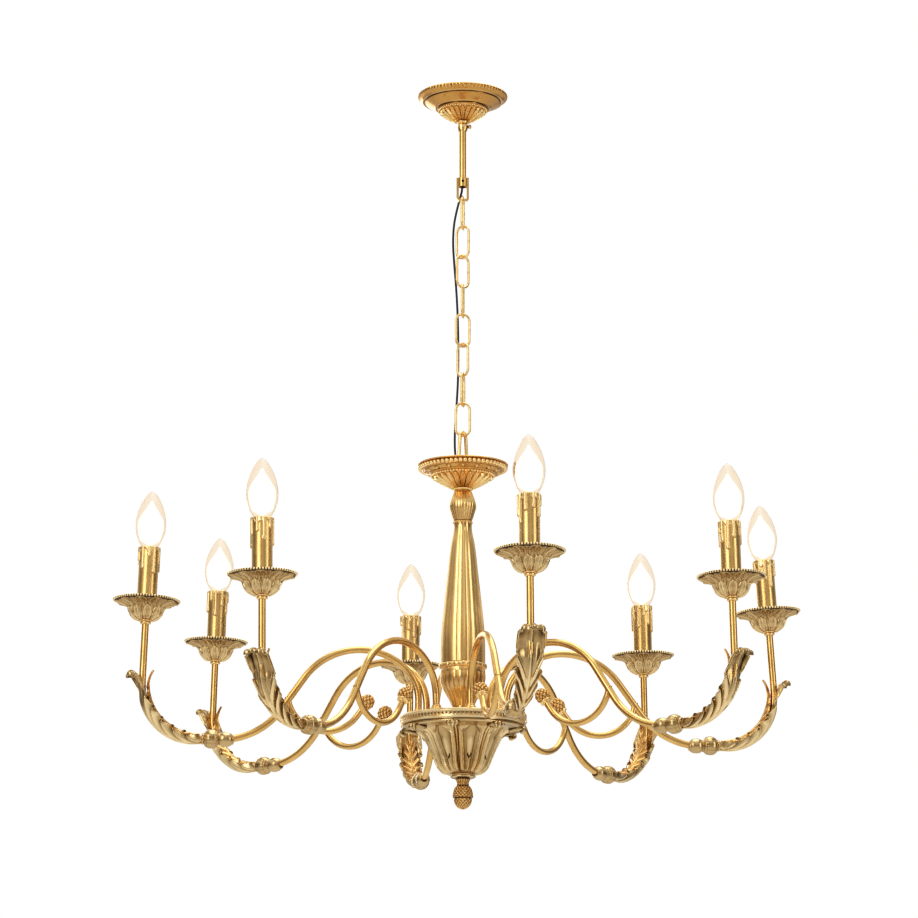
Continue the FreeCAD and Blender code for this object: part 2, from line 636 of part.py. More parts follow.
SINGLE_PARTS = (
    ceiling_crossbar, ceiling_canopy, canopy_collar, thumb_screw, downrod, rod_yoke, yoke_screw,
    power_cord, cord_grommet, top_loop, top_dish, neck_ring, column_ball, column_body, column_ring,
    column_foot, central_rod, arm_plate, bowl, finial, wire_connector,
)
ARM_GROUPS = {
    "arm_knops": knop, "outer_leaves": outer_leaf, "inner_leaves": inner_leaf, "curl_buds": curl_bud,
    "bud_rings": bud_ring, "cup_collars": cup_collar, "bobeches": bobeche, "lamp_holders": lamp_holder,
    "candle_sleeves": candle_sleeve, "arm_nuts": arm_nut,
}

save(hexagon(14, ROD_R + LOOSE, BAR_HUB_BOTTOM - 5, BAR_HUB_BOTTOM), "rod_top_nut")
for make in SINGLE_PARTS:
    save(make(), make.__name__)
for index in range(len(LINK_TURN_DEG)):
    save(chain_link(index), "chain_link_%d" % (index + 1))
for name, make in ARM_GROUPS.items():
    save(on_all_arms(make()), name)
tube_solid, bulb_solid = arm_tube(), bulb()
for index in range(ARM_COUNT):
    save(on_arm(tube_solid, index), "arm_tube_%d" % (index + 1))
    save(on_arm(bulb_solid, index), "bulb_%d" % (index + 1))
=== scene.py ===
"""Looks of the eight-arm brass chandelier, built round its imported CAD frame. Shapes are worked out in
millimetres, with the ceiling at z = 0, and scaled to metres when a mesh is made."""

import math

import bmesh
import bpy
import numpy as np
from mathutils import Matrix, Vector

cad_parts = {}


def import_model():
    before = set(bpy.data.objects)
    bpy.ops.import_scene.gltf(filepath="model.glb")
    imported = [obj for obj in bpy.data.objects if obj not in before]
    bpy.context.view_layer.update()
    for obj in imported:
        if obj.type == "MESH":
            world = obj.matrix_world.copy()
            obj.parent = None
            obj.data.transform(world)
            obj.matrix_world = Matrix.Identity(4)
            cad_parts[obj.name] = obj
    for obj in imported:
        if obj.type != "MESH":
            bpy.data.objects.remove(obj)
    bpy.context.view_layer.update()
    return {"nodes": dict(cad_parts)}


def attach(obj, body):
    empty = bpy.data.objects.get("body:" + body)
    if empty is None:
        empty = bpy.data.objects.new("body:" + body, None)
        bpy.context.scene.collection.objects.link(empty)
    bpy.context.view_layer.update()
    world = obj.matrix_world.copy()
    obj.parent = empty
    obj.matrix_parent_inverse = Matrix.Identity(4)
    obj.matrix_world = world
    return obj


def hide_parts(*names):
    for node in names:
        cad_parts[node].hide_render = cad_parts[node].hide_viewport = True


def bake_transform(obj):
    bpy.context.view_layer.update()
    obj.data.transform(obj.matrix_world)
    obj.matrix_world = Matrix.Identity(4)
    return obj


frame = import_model()

MM = 0.001
TAU = 2 * math.pi

# ---- dimensions shared with the CAD part

ARM_COUNT = 8
FIRST_ARM_DEG = -80.6
ARM_TURN_DEG = (2, -1, 0, -2, 1, 0.5, 0, 0)
ARM_DROOP_DEG = (0, 0, -2, 0, 0, -0.5, -0.5, 2.5)

WIRE_R = 1.5
LINK_LENGTH, LINK_WIDTH, LINK_PITCH = 41.3, 19, 35
FIRST_LINK_TOP = -122.1
LINK_TURN_DEG = (82, -33, 35, 84, 18, -42, 79, 0)

CORD_R = 1.3
CORD_ROUTE = (
    (0, 0, -104), (-0.3, 1.0, -114), (-3.4, 5.6, -124.5), (-6.8, 7.4, -137), (-10.4, 7.9, -155),
    (-11.4, 8.3, -178), (-9.7, 9.7, -203), (-7.3, 11.8, -232), (-5.6, 13.2, -266), (-4.9, 13.7, -303),
    (-5.4, 13.3, -340), (-7.4, 12.0, -373), (-9.3, 10.2, -402), (-9.0, 8.0, -425), (-6.4, 5.4, -444),
    (-6.4, 5.4, -457),
)

LOOP_WIRE_R, LOOP_TURN_DEG = 2.1, 56
LOOP_CROWN_Z, LOOP_ARCH_R, LOOP_FOOT_HALF, LOOP_FOOT_Z = -408.8, 5.8, 10.2, -459.5

TUBE_R, CURL_TUBE_R = 4, 3.6
FOOT_X, FOOT_TOP, RISE_TOP, PLATE_TOP = 50.5, -726.6, -713, -730
APEX = (115, -657.5)
CREST_R, SLOPE_DEG, SLOPE_RUN = 78, 55.5, 44
LOW_Z, BEND_X, BEND_R = -764, 299.5, 60
LEAN_DEG, STEM_TOP = 1.5, 77
CURL_CENTRE, CURL_R = (155, -708), 43
CURL_FROM_DEG, CURL_TO_DEG, CURL_END_RUN = -8, -145, 10

# ---- looks only

# Beads carry a relief near 1, so they are painted in the brass's ridge highlight.
BEAD_PAINTED_HIGHLIGHT, BALL_ROWS, BALL_COLUMNS = 0.95, 8, 12
ROSE_PETALS, BOBECHE_LEAVES, BOWL_LEAVES, COLUMN_LOBES = 24, 10, 8, 12
BOWL_TURN_DEG = -9.5
SHEET = 1.3
LAST_LOBE = 5
TURNED_SHARP_DEG, CAST_SHARP_DEG, RELIEF_SHARP_DEG = 40.0, 70, 75

FLOOR_Z = -2.45
CAMERA_PLACE = (-0.0043, -4.116, -1.372)
CAMERA_PITCH_DEG, CAMERA_LENS = 12.84, 145.65
CONTRAST_POINTS = ((0.13, 0.112), (0.5, 0.53), (0.8, 0.86))


# ---- materials

def new_material(name):
    material = bpy.data.materials.new(name)
    material.use_nodes = True
    tree = material.node_tree
    return material, tree, tree.nodes["Principled BSDF"]


def add_node(tree, kind, **settings):
    node = tree.nodes.new(kind)
    for key, value in settings.items():
        if key in node.inputs:
            node.inputs[key].default_value = value
        else:
            setattr(node, key, value)
    return node


def noise(tree, scale, detail=4.0):
    """Noise in the piece's own coordinates, in metres."""
    coords = add_node(tree, "ShaderNodeTexCoord")
    texture = add_node(tree, "ShaderNodeTexNoise", Scale=scale, Detail=detail)
    tree.links.new(coords.outputs["Object"], texture.inputs["Vector"])
    return texture.outputs["Fac"]


def ramp(tree, source, stops):
    node = add_node(tree, "ShaderNodeValToRGB")
    elements = node.color_ramp.elements
    while len(elements) < len(stops):
        elements.new(0.5)
    for element, (place, colour) in zip(elements, stops):
        element.position = place
        element.color = (*colour, 1)
    tree.links.new(source, node.inputs["Fac"])
    return node.outputs["Color"]


def grey(value):
    return (value, value, value)


def bump(tree, shader, source, strength, distance):
    node = add_node(tree, "ShaderNodeBump", Strength=strength, Distance=distance)
    tree.links.new(source, node.inputs["Height"])
    tree.links.new(node.outputs["Normal"], shader.inputs["Normal"])


def brass(name, deep, middle, bright, rough, grain=900.0, grain_strength=0.04, patina_and_painted_light=True):
    """Cast or drawn brass with uneven lacquer and fine grain. Its colour can follow the relief attribute: painted
    shade in its hollows, partly the patina of the antique brass, and painted highlight on its ridges.
    """
    material, tree, shader = new_material(name)
    shader.inputs["Metallic"].default_value = 1.0
    blotch = noise(tree, 45.0)
    # Relief attribute as colour: painted shade in the hollows (partly patina) and painted highlight on the ridges;
    # otherwise the lacquer's random tone.
    if patina_and_painted_light:
        relief = add_node(tree, "ShaderNodeAttribute", attribute_name="relief").outputs["Fac"]
    else:
        relief = add_node(tree, "ShaderNodeMapRange", **{"From Min": 0.2, "From Max": 0.8, "To Min": 0.35,
                                                         "To Max": 0.9})
        tree.links.new(blotch, relief.inputs["Value"])
        relief = relief.outputs["Result"]
    colour = ramp(tree, relief, ((0.0, deep), (0.3, middle), (0.9, bright)))
    toned = add_node(tree, "ShaderNodeMix", data_type="RGBA", blend_type="MULTIPLY")
    toned.inputs["Factor"].default_value = 1.0
    tree.links.new(colour, toned.inputs["A"])
    tree.links.new(ramp(tree, blotch, ((0.3, (0.88, 0.85, 0.80)), (0.7, (1.0, 1.0, 1.0)))), toned.inputs["B"])
    tree.links.new(toned.outputs["Result"], shader.inputs["Base Color"])
    fine = noise(tree, grain, 6.0)
    tree.links.new(ramp(tree, fine, ((0.3, grey(rough * 0.85)), (0.7, grey(rough * 1.2)))),
                   shader.inputs["Roughness"])
    bump(tree, shader, fine, grain_strength, 0.0001)
    return material


def plain(name, low, high, rough, metallic=0.0, grain=1200.0, strength=0.2):
    """Plastic, rubber or steel with fine mottling."""
    material, tree, shader = new_material(name)
    shader.inputs["Metallic"].default_value = metallic
    shader.inputs["Roughness"].default_value = rough
    fine = noise(tree, grain)
    tree.links.new(ramp(tree, fine, ((0.35, low), (0.65, high))), shader.inputs["Base Color"])
    bump(tree, shader, fine, strength, 0.0001)
    return material


# In the relief-coloured brasses, deep is painted shade in the hollows (with patina on the antique and warm cast
# brass), and bright is painted highlight on the ridges.
GOLD = brass("polished_brass_relief", (0.10, 0.035, 0.006), (0.66, 0.38, 0.115), (1.0, 0.76, 0.39), 0.18,
             300.0, 0.01)
GOLD_PLAIN = brass("polished_brass_drawn", (0.52, 0.31, 0.095), (0.68, 0.43, 0.15), (0.80, 0.54, 0.22), 0.20,
                   90.0, 0.0, patina_and_painted_light=False)
COLUMN = brass("polished_brass_column", (0.40, 0.22, 0.06), (0.72, 0.46, 0.17), (0.84, 0.58, 0.26), 0.20,
               90.0, 0.0)
ANTIQUE = brass("antique_brass_cast", (0.06, 0.034, 0.012), (0.44, 0.30, 0.13), (0.88, 0.70, 0.41), 0.23,
                700.0, 0.03)
WARM = brass("warm_brass_cast", (0.08, 0.028, 0.006), (0.52, 0.29, 0.095), (0.82, 0.54, 0.22), 0.26, 700.0, 0.04)
SLEEVE = brass("candle_brass", (0.20, 0.11, 0.035), (0.70, 0.48, 0.20), (0.94, 0.70, 0.37), 0.27,
               90.0, 0.0)
STEEL = plain("plated_steel", (0.42, 0.42, 0.40), (0.60, 0.60, 0.57), 0.35, 1.0)
DARK_STEEL = plain("dark_steel", (0.02, 0.02, 0.02), (0.05, 0.05, 0.05), 0.45, 1.0)
SHEATH = plain("black_cord_sheath", (0.008, 0.008, 0.009), (0.018, 0.018, 0.019), 0.42)
PLASTIC = plain("white_plastic", (0.72, 0.70, 0.65), (0.82, 0.80, 0.75), 0.5)


def glass_material():
    """Warm clear glass, deeper in colour where it is seen edge on."""
    material, tree, shader = new_material("flame_glass")
    shader.inputs["Transmission Weight"].default_value = 1.0
    shader.inputs["IOR"].default_value = 1.25
    shader.inputs["Roughness"].default_value = 0.05
    edge = add_node(tree, "ShaderNodeLayerWeight", Blend=0.42).outputs["Facing"]
    tree.links.new(ramp(tree, edge, ((0.0, (0.97, 0.89, 0.80)), (0.5, (0.93, 0.82, 0.71)), (1.0, (0.76, 0.62, 0.50)))),
                   shader.inputs["Base Color"])
    fine = noise(tree, 120.0, 2.0)
    bump(tree, shader, fine, 0.08, 0.0002)
    return material


def glow_material():
    """Light of the filament: white hot in the middle, fading out at its edge."""
    material, tree, shader = new_material("flame_glow")
    shader.inputs["Base Color"].default_value = (1.0, 0.95, 0.88, 1)
    shader.inputs["Roughness"].default_value = 1.0
    shader.inputs["Specular IOR Level"].default_value = 0.0
    shader.inputs["Emission Strength"].default_value = 1.5
    edge = add_node(tree, "ShaderNodeLayerWeight", Blend=0.35).outputs["Facing"]
    tree.links.new(ramp(tree, edge, ((0.0, (1.0, 0.98, 0.94)), (0.7, (1.0, 0.90, 0.74)), (1.0, (1.0, 0.82, 0.62)))),
                   shader.inputs["Emission Color"])
    tree.links.new(ramp(tree, edge, ((0.0, grey(0.9)), (0.6, grey(0.0)))), shader.inputs["Alpha"])
    return material


GLASS, GLOW = glass_material(), glow_material()


# ---- mesh building

def smoothstep(low, high, x):
    t = np.clip((x - low) / (high - low), 0, 1)
    return t * t * (3 - 2 * t)


def bell(x, width):
    return np.exp(-(x / width) ** 2)


def spline(points, count):
    """count points, evenly spaced, on a smooth line through the given ones."""
    p = np.array(points, float)
    if len(p) == 2:
        return p[0] + (p[1] - p[0]) * np.linspace(0, 1, count)[:, None]
    chord = np.concatenate([[0], np.cumsum(np.linalg.norm(np.diff(p, axis=0), axis=1))])
    slope = np.zeros_like(p)
    step = np.diff(chord)[:, None]
    run = np.diff(p, axis=0) / step
    slope[1:-1] = (run[:-1] * step[1:] + run[1:] * step[:-1]) / (step[1:] + step[:-1])
    slope[0] = 1.5 * run[0] - 0.5 * slope[1]
    slope[-1] = 1.5 * run[-1] - 0.5 * slope[-2]

    def along(s):
        k = np.clip(np.searchsorted(chord, s, side="right") - 1, 0, len(p) - 2)
        h = (chord[k + 1] - chord[k])[:, None]
        u = ((s - chord[k]) / h[:, 0])[:, None]
        return (p[k] * (2 * u ** 3 - 3 * u ** 2 + 1) + slope[k] * h * (u ** 3 - 2 * u ** 2 + u)
                + p[k + 1] * (3 * u ** 2 - 2 * u ** 3) + slope[k + 1] * h * (u ** 3 - u ** 2))

    dense = along(np.linspace(0, chord[-1], 40 * len(p)))
    length = np.concatenate([[0], np.cumsum(np.linalg.norm(np.diff(dense, axis=0), axis=1))])
    even = np.interp(np.linspace(0, length[-1], count), length, np.linspace(0, chord[-1], len(dense)))
    return along(even)


def ramp_through(keys, x):
    """Smooth number through (place, value) keys."""
    places, values = np.array(keys, float).T
    line = spline(list(zip(places, values)), 400)
    return np.interp(x, line[:, 0], line[:, 1])


def line_way(line):
    way = np.gradient(line, axis=0)
    return way / (np.linalg.norm(way, axis=1)[:, None] + 1e-12)


def line_normal(line):
    """Unit normals of a flat line, to the left of the way along it."""
    way = line_way(line)
    return np.stack([-way[:, 1], way[:, 0]], axis=1)


def rings(line, columns):
    """A flat line of (radius, height) turned about the axis."""
    phi = np.arange(columns) / columns * TAU
    return np.stack([line[:, :1] * np.cos(phi), line[:, :1] * np.sin(phi),
                     np.repeat(line[:, 1:], columns, axis=1)], axis=2)


def raised(line, normal, lift, side):
    """Points of a leaf: off its midline by lift, and to its side."""
    x, z = line[:, :1] + normal[:, :1] * lift, line[:, 1:] + normal[:, 1:] * lift
    return np.stack([x, np.broadcast_to(side, x.shape), z], axis=2)


class Shape:
    """Closed shells gathered into one mesh, in millimetres. relief is 0 in hollows and 1 on ridges; the brass turns it
    into painted shade in the hollows and painted highlight on the ridges.
    """

    def __init__(self):
        self.verts, self.faces, self.relief, self.count = [], [], [], 0

    def add(self, verts, faces, relief=0.75):
        verts = np.asarray(verts, float).reshape(-1, 3)
        self.verts.append(verts)
        self.faces.extend([tuple(i + self.count for i in f) for f in faces])
        self.relief.append(np.broadcast_to(np.asarray(relief, float).ravel(), (len(verts),)).copy())
        self.count += len(verts)
        return self

    def grid(self, points, relief=0.75, wrap_rows=False, wrap_columns=False, caps=False):
        """Quads over rows x columns of points; caps closes the first and the last row."""
        rows, columns = points.shape[:2]
        r = np.arange(rows if wrap_rows else rows - 1)
        c = np.arange(columns if wrap_columns else columns - 1)
        a = (r[:, None] * columns + c[None, :]).ravel()
        b = (r[:, None] * columns + ((c + 1) % columns)[None, :]).ravel()
        d = (((r + 1) % rows)[:, None] * columns + c[None, :]).ravel()
        e = (((r + 1) % rows)[:, None] * columns + ((c + 1) % columns)[None, :]).ravel()
        faces = list(zip(a.tolist(), b.tolist(), e.tolist(), d.tolist()))
        if caps:
            faces.append(tuple(range(columns)))
            faces.append(tuple(range((rows - 1) * columns, rows * columns)))
        return self.add(points, faces, np.broadcast_to(relief, (rows, columns)))

    def moved(self, matrix):
        """The same shells after a 4 x 4 matrix, in millimetres."""
        m = np.array(matrix)
        self.verts = [v @ m[:3, :3].T + m[:3, 3] for v in self.verts]
        return self

    def mesh(self, name, material, sharp_deg=TURNED_SHARP_DEG):
        data = bpy.data.meshes.new(name)
        data.from_pydata((np.concatenate(self.verts) * MM).tolist(), [], self.faces)
        data.attributes.new("relief", "FLOAT", "POINT").data.foreach_set(
            "value", np.concatenate(self.relief).astype(np.float32))
        work = bmesh.new()
        work.from_mesh(data)
        bmesh.ops.recalc_face_normals(work, faces=work.faces)
        work.to_mesh(data)
        work.free()
        data.shade_smooth()
        data.set_sharp_from_angle(angle=math.radians(sharp_deg))
        data.materials.append(material)
        return data


def in_scene(name, data):
    thing = bpy.data.objects.new(name, data)
    bpy.context.scene.collection.objects.link(thing)
    return thing


def piece(name, data, body, nodes=()):
    """An object on a CAD body that stands for some CAD nodes."""
    thing = in_scene(name, data)
    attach(thing, body)
    if nodes:
        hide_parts(*nodes)
    return thing


def cover(name, shape, material, node, sharp_deg=TURNED_SHARP_DEG, body="lamp"):
    piece(name, shape.mesh(name, material, sharp_deg), body, [node])


def lathe(strips, inner, columns, height=None, into=None, floor=None, roof=None):
    """Turned shell. strips are smooth stretches of (points, rows) from the top down the outside; inner
    is the way back up. height(r, z, phi) raises the outside, in millimetres; floor and roof are the
    heights painted in the deepest hollow shade and the brightest ridge highlight."""
    outside = np.concatenate([spline(points, rows)[(1 if i else 0):] for i, (points, rows) in enumerate(strips)])
    phi = np.arange(columns) / columns * TAU
    normal = line_normal(outside)
    r, z = outside[:, :1], outside[:, 1:]
    lift = np.zeros((len(outside), columns))
    if height is not None:
        lift = height(np.broadcast_to(r, lift.shape), np.broadcast_to(z, lift.shape),
                      np.broadcast_to(phi, lift.shape))
    low = lift.min() if floor is None else floor
    high = lift.max() if roof is None else roof
    relief = np.clip((lift - low) / (high - low), 0, 1) if high > low else np.full(lift.shape, 0.75)
    radius = r + normal[:, :1] * lift
    level = z + normal[:, 1:] * lift
    if inner:
        back = np.array(inner, float)
        radius = np.concatenate([radius, np.repeat(back[:, :1], columns, axis=1)])
        level = np.concatenate([level, np.repeat(back[:, 1:], columns, axis=1)])
        relief = np.concatenate([relief, np.full((len(back), columns), 0.45)])
    points = np.stack([radius * np.cos(phi), radius * np.sin(phi), level], axis=2)
    shape = into or Shape()
    return shape.grid(points, relief, wrap_rows=bool(inner), wrap_columns=True, caps=not inner)


def ball(shape, centre, radius):
    lat = np.linspace(-math.pi / 2, math.pi / 2, BALL_ROWS + 1)[1:-1]
    lon = np.arange(BALL_COLUMNS) / BALL_COLUMNS * TAU
    grid = np.stack([np.outer(np.cos(lat), np.cos(lon)), np.outer(np.cos(lat), np.sin(lon)),
                     np.outer(np.sin(lat), np.ones(BALL_COLUMNS))], axis=2) * radius + np.array(centre)
    return shape.grid(grid, BEAD_PAINTED_HIGHLIGHT, wrap_columns=True, caps=True)


def bead_ring(shape, radius, z, bead, count):
    for k in range(count):
        a = TAU * k / count
        ball(shape, (radius * math.cos(a), radius * math.sin(a), z), bead)


def tube(points, radius, sides=20, closed=False, into=None, relief=0.75):
    """Round bar along points; radius is one number or one for each point."""
    p = np.array(points, float)
    if closed:
        way = np.roll(p, -1, axis=0) - np.roll(p, 1, axis=0)
    else:
        way = np.gradient(p, axis=0)
    way /= np.linalg.norm(way, axis=1)[:, None]
    side = np.cross(way[0], (0, 0, 1) if abs(way[0][2]) < 0.8 else (0, 1, 0))
    sides_at = []
    for w in way:
        side = side - w * np.dot(side, w)
        side = side / np.linalg.norm(side)
        sides_at.append(side)
    side = np.array(sides_at)
    other = np.cross(way, side)
    a = np.arange(sides) / sides * TAU
    r = np.broadcast_to(np.asarray(radius, float), (len(p),))[:, None, None]
    grid = p[:, None, :] + r * (side[:, None, :] * np.cos(a)[None, :, None]
                                + other[:, None, :] * np.sin(a)[None, :, None])
    shape = into or Shape()
    return shape.grid(grid, relief, wrap_rows=closed, wrap_columns=True, caps=not closed)


def cell(phi, count, shift=0.0):
    """Place across the nearest of count equal cells, -1 to 1."""
    return 2 * ((phi / TAU * count + shift + 0.5) % 1.0) - 1


def petal(across, along, sharp=2.6, hollow=0.45):
    """Height of an arched petal: across is -1..1 in its cell, along is 0 at its root and 1 at its tip."""
    inside = np.clip(1 - np.clip(along, 0, 1) ** sharp, 0, 1) ** 0.5 - np.abs(across) * 1.04
    body = smoothstep(0.0, 0.14, inside)
    dished = hollow * smoothstep(0.12, 0.5, inside) * (1 - bell(across, 0.14))
    return np.where((along > 1) | (along < 0), 0, body - dished)


def scales(phi, along, around, rows):
    """Diamond scales of a cone."""
    a, b = phi / TAU * around, along * rows
    return (np.abs(np.sin(math.pi * (a + b / 2))) * np.abs(np.sin(math.pi * (a - b / 2)))) ** 0.7


# ---- ceiling end

def canopy_height(r, z, phi):
    notch = 0.8 * (np.abs(np.sin(36 * phi)) ** 0.6 - 0.6) * smoothstep(48.4, 50.2, r)
    petals = 2.2 * petal(cell(phi, ROSE_PETALS), (r - 7) / (26.2 - 7), 5.0, 0.6) * smoothstep(6.8, 9, r)
    step = (0.9 * bell(r - 46.2, 0.8) - 0.9 * bell(r - 44.2, 0.6) + 0.8 * bell(r - 31.6, 0.7)
            - 0.9 * bell(r - 29.6, 0.6))
    return notch + petals + step


canopy = lathe(
    [(((49.9, -0.6), (51.7, -1.6), (51.8, -3.2), (49.8, -5.6)), 18),
     (((49.8, -5.6), (44, -9.4), (37, -13.4), (31, -16.6), (27, -19.6)), 44),
     (((27, -19.6), (22, -23.4), (16, -27.2), (9.4, -30.6), (6.9, -31.8)), 56)],
    ((4.6, -31.8), (4.6, -29.8), (12, -26), (20, -21.4), (29, -14.6), (36, -10.2), (43.5, -6.8), (48, -4.6),
     (48, -0.6)), 480, canopy_height)
bead_ring(canopy, 27.7, -19.6, 1.15, 60)
cover("canopy_cover", canopy, GOLD, "ceiling_canopy", body="canopy_set")

collar = lathe(
    [(((6.2, -31.9), (6.75, -32.5), (6.75, -33.6), (6.0, -34.5)), 10),
     (((6.0, -34.5), (5.3, -35.0)), 3),
     (((5.3, -35.0), (5.6, -36.0), (5.6, -42.6), (5.2, -43.9)), 14)],
    ((4.2, -43.9), (4.2, -31.9)), 64)
cover("canopy_clamp_collar", collar, GOLD, "canopy_collar", body="canopy_set")

TO_X = Matrix.Rotation(math.radians(90), 4, "Y")
knob = lathe(
    [(((0.02, 10.0), (1.6, 9.9), (2.3, 9.4)), 8),
     (((2.3, 9.4), (2.5, 8.4), (2.5, 7.2), (2.2, 6.75)), 10),
     (((2.2, 6.75), (1.8, 6.6)), 3),
     (((1.8, 6.6), (1.8, 5.9)), 3),
     (((1.8, 5.9), (1.45, 5.8)), 3),
     (((1.45, 5.8), (1.45, 4.4)), 3)],
    (), 72, lambda r, z, phi: 0.14 * np.abs(np.sin(12 * phi)) * smoothstep(2.2, 2.45, r))
knob.moved(Matrix.Translation((0, 0, -38.6)) @ TO_X)
cover("thumb_knob", knob, GOLD, "thumb_screw", body="thumb_screw")


# ---- chain, loop and cord

def link_top(number):
    return FIRST_LINK_TOP - LINK_PITCH * number


def chain_link(number):
    """Bent wire with its butt weld half way down one side."""
    bend_r = LINK_WIDTH / 2 - WIRE_R
    high = link_top(number) - LINK_WIDTH / 2
    low = high - (LINK_LENGTH - LINK_WIDTH)
    line = [(bend_r * math.cos(a), 0, high + bend_r * math.sin(a)) for a in np.linspace(0, math.pi, 28)]
    line += [(-bend_r, 0, z) for z in np.linspace(high, low, 16)[1:-1]]
    line += [(bend_r * math.cos(a), 0, low + bend_r * math.sin(a)) for a in np.linspace(math.pi, TAU, 28)]
    line += [(bend_r, 0, z) for z in np.linspace(low, high, 44)[1:-1]]
    place = np.array(line)
    seam = np.where(place[:, 0] > bend_r - 0.01, place[:, 2] - (high + low) / 2, 99)
    radius = WIRE_R + 0.16 * bell(seam, 1.1) - 0.12 * bell(seam, 0.3)
    relief = np.broadcast_to((0.75 - 0.5 * bell(seam, 0.35))[:, None], (len(place), 18))
    shape = tube(place, radius, 18, closed=True, relief=relief)
    return shape.moved(Matrix.Rotation(math.radians(LINK_TURN_DEG[number]), 4, "Z"))


for index in range(len(LINK_TURN_DEG)):
    label = "link_wire_%d" % (index + 1)
    piece(label, chain_link(index).mesh(label, GOLD), "link_%d" % (index + 1),
          ["chain_link_%d" % (index + 1)])


def top_loop():
    """Bail of bent wire standing on a turned disc."""
    rise = LOOP_CROWN_Z - LOOP_FOOT_Z
    tilt = math.atan2(LOOP_FOOT_HALF - LOOP_ARCH_R, rise)
    arch = [(LOOP_ARCH_R * math.cos(a), 0, LOOP_CROWN_Z + LOOP_ARCH_R * math.sin(a))
            for a in np.linspace(tilt, math.pi - tilt, 30)]
    right = spline([(LOOP_FOOT_HALF, LOOP_FOOT_Z), arch[0][::2]], 14)
    line = [(x, 0, z) for x, z in right[:-1]] + arch + [(-x, 0, z) for x, z in right[::-1][1:]]
    shape = tube(line, LOOP_WIRE_R, 24)
    shape.moved(Matrix.Rotation(math.radians(LOOP_TURN_DEG), 4, "Z"))
    return lathe([(((11.9, -459.1), (12.5, -459.7), (12.5, -463.9)), 8)],
                 ((5.1, -463.9), (5.1, -459.1)), 96, into=shape)


cover("loop_bail", top_loop(), GOLD, "top_loop")


def cord_line():
    """Points of the cord's own smooth line, in metres."""
    curve = bpy.data.curves.new("cord_route", "CURVE")
    curve.dimensions = "3D"
    curve.resolution_u = 24
    line = curve.splines.new("NURBS")
    line.points.add(len(CORD_ROUTE) - 1)
    for point, place in zip(line.points, CORD_ROUTE):
        point.co = (*[c * MM for c in place], 1)
    line.order_u = 3
    line.use_endpoint_u = True
    holder = in_scene("cord_route", curve)
    bpy.context.view_layer.update()
    data = bpy.data.meshes.new_from_object(holder)
    points = np.array([v.co for v in data.vertices])
    bpy.data.objects.remove(holder)
    bpy.data.curves.remove(curve)
    bpy.data.meshes.remove(data)
    return points


def cord_pieces():
    """The cord in nine lengths, cut at the middle of each chain link, so that each runs across one joint of the chain.
    """
    line = cord_line()
    cuts = [(link_top(i) - LINK_LENGTH / 2) * MM for i in range(len(LINK_TURN_DEG))]
    levels = [line[0][2] + 1] + cuts + [line[-1][2] - 1]
    heights = line[:, 2]
    for number, (upper, lower) in enumerate(zip(levels, levels[1:])):
        inside = line[(heights < upper) & (heights > lower)]
        ends = [[np.interp(-z, -heights, line[:, k]) for k in range(3)] for z in (upper, lower)]
        path = inside.tolist()
        if number > 0:
            path.insert(0, ends[0])
        if number < len(cuts):
            path.append(ends[1])
        path = np.array(path)
        shape = tube(path / MM, CORD_R, 16)
        label = "cord_length_%d" % (number + 1)
        thing = in_scene(label, shape.mesh(label, SHEATH))
        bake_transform(thing)
        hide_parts("power_cord")


cord_pieces()

grommet_x, grommet_y, grommet_top = CORD_ROUTE[-1]
grommet = lathe([(((1.35, grommet_top + 0.9), (2.0, grommet_top + 0.6), (2.55, -458.4), (2.55, -463.9)), 14)],
                ((0.4, -463.9), (0.4, grommet_top + 0.2)), 40)
grommet.moved(Matrix.Translation((grommet_x, grommet_y, 0)))
cover("cord_sleeve", grommet, SHEATH, "cord_grommet")


# ---- dish and column

def dish_height(r, z, phi):
    petals = 2.3 * petal(cell(phi, ROSE_PETALS), (r - 10) / (33.6 - 10), 4.0, 0.6) * smoothstep(9.8, 12, r)
    away = np.hypot(cell(phi, 16) * math.pi * 41.2 / 16, r - 41.2)
    rosettes = 1.3 * smoothstep(2.2, 1.0, away) - 0.5 * bell(away - 2.6, 0.5)
    grooves = -0.7 * bell(r - 44.6, 0.5) - 0.6 * bell(r - 38.4, 0.45)
    return petals + (rosettes + grooves) * (z < -447)


dish = lathe(
    [(((49.6, -440.6), (51.2, -440.9), (51.7, -441.7), (50.8, -442.5)), 14),
     (((50.8, -442.5), (48.4, -443.0), (47.0, -444.8), (46.6, -447.4)), 12),
     (((46.6, -447.4), (43.6, -448.8), (38.8, -451.2), (35.4, -453.2)), 50),
     (((35.4, -453.2), (29, -457.6), (21, -462.2), (14, -465.7), (9.6, -467.4)), 60)],
    ((5.3, -467.4), (5.3, -464), (16, -463.4), (21, -460.4), (29, -455), (35, -451), (39, -448.6), (43, -446.0),
     (45.4, -443.8), (46.6, -441.2)), 480, dish_height)
bead_ring(dish, 48.5, -445.2, 2.6, 58)
bead_ring(dish, 35.4, -454.0, 1.5, 64)
cover("dish_cover", dish, GOLD, "top_dish")

neck = lathe([(((9.4, -467.5), (9.9, -468.0), (9.9, -470.4), (9.4, -470.9)), 10)],
             ((8.6, -470.9), (8.6, -467.5)), 96)
bead_ring(neck, 9.7, -469.2, 1.75, 18)
cover("neck_beads", neck, GOLD, "neck_ring")


def gadroons(count, convex, groove, top, bottom):
    """Broad lobes with narrow grooves between them down a turned body, fading out at its two ends."""
    def height(r, z, phi):
        across = cell(phi, count)
        lobe = -convex * across ** 2 - groove * bell(1 - np.abs(across), 0.22)
        ends = smoothstep(top, top - 3, z) * smoothstep(bottom, bottom + 3, z)
        return lobe * ends * np.clip(r / 22, 0.5, 1.1)
    return height


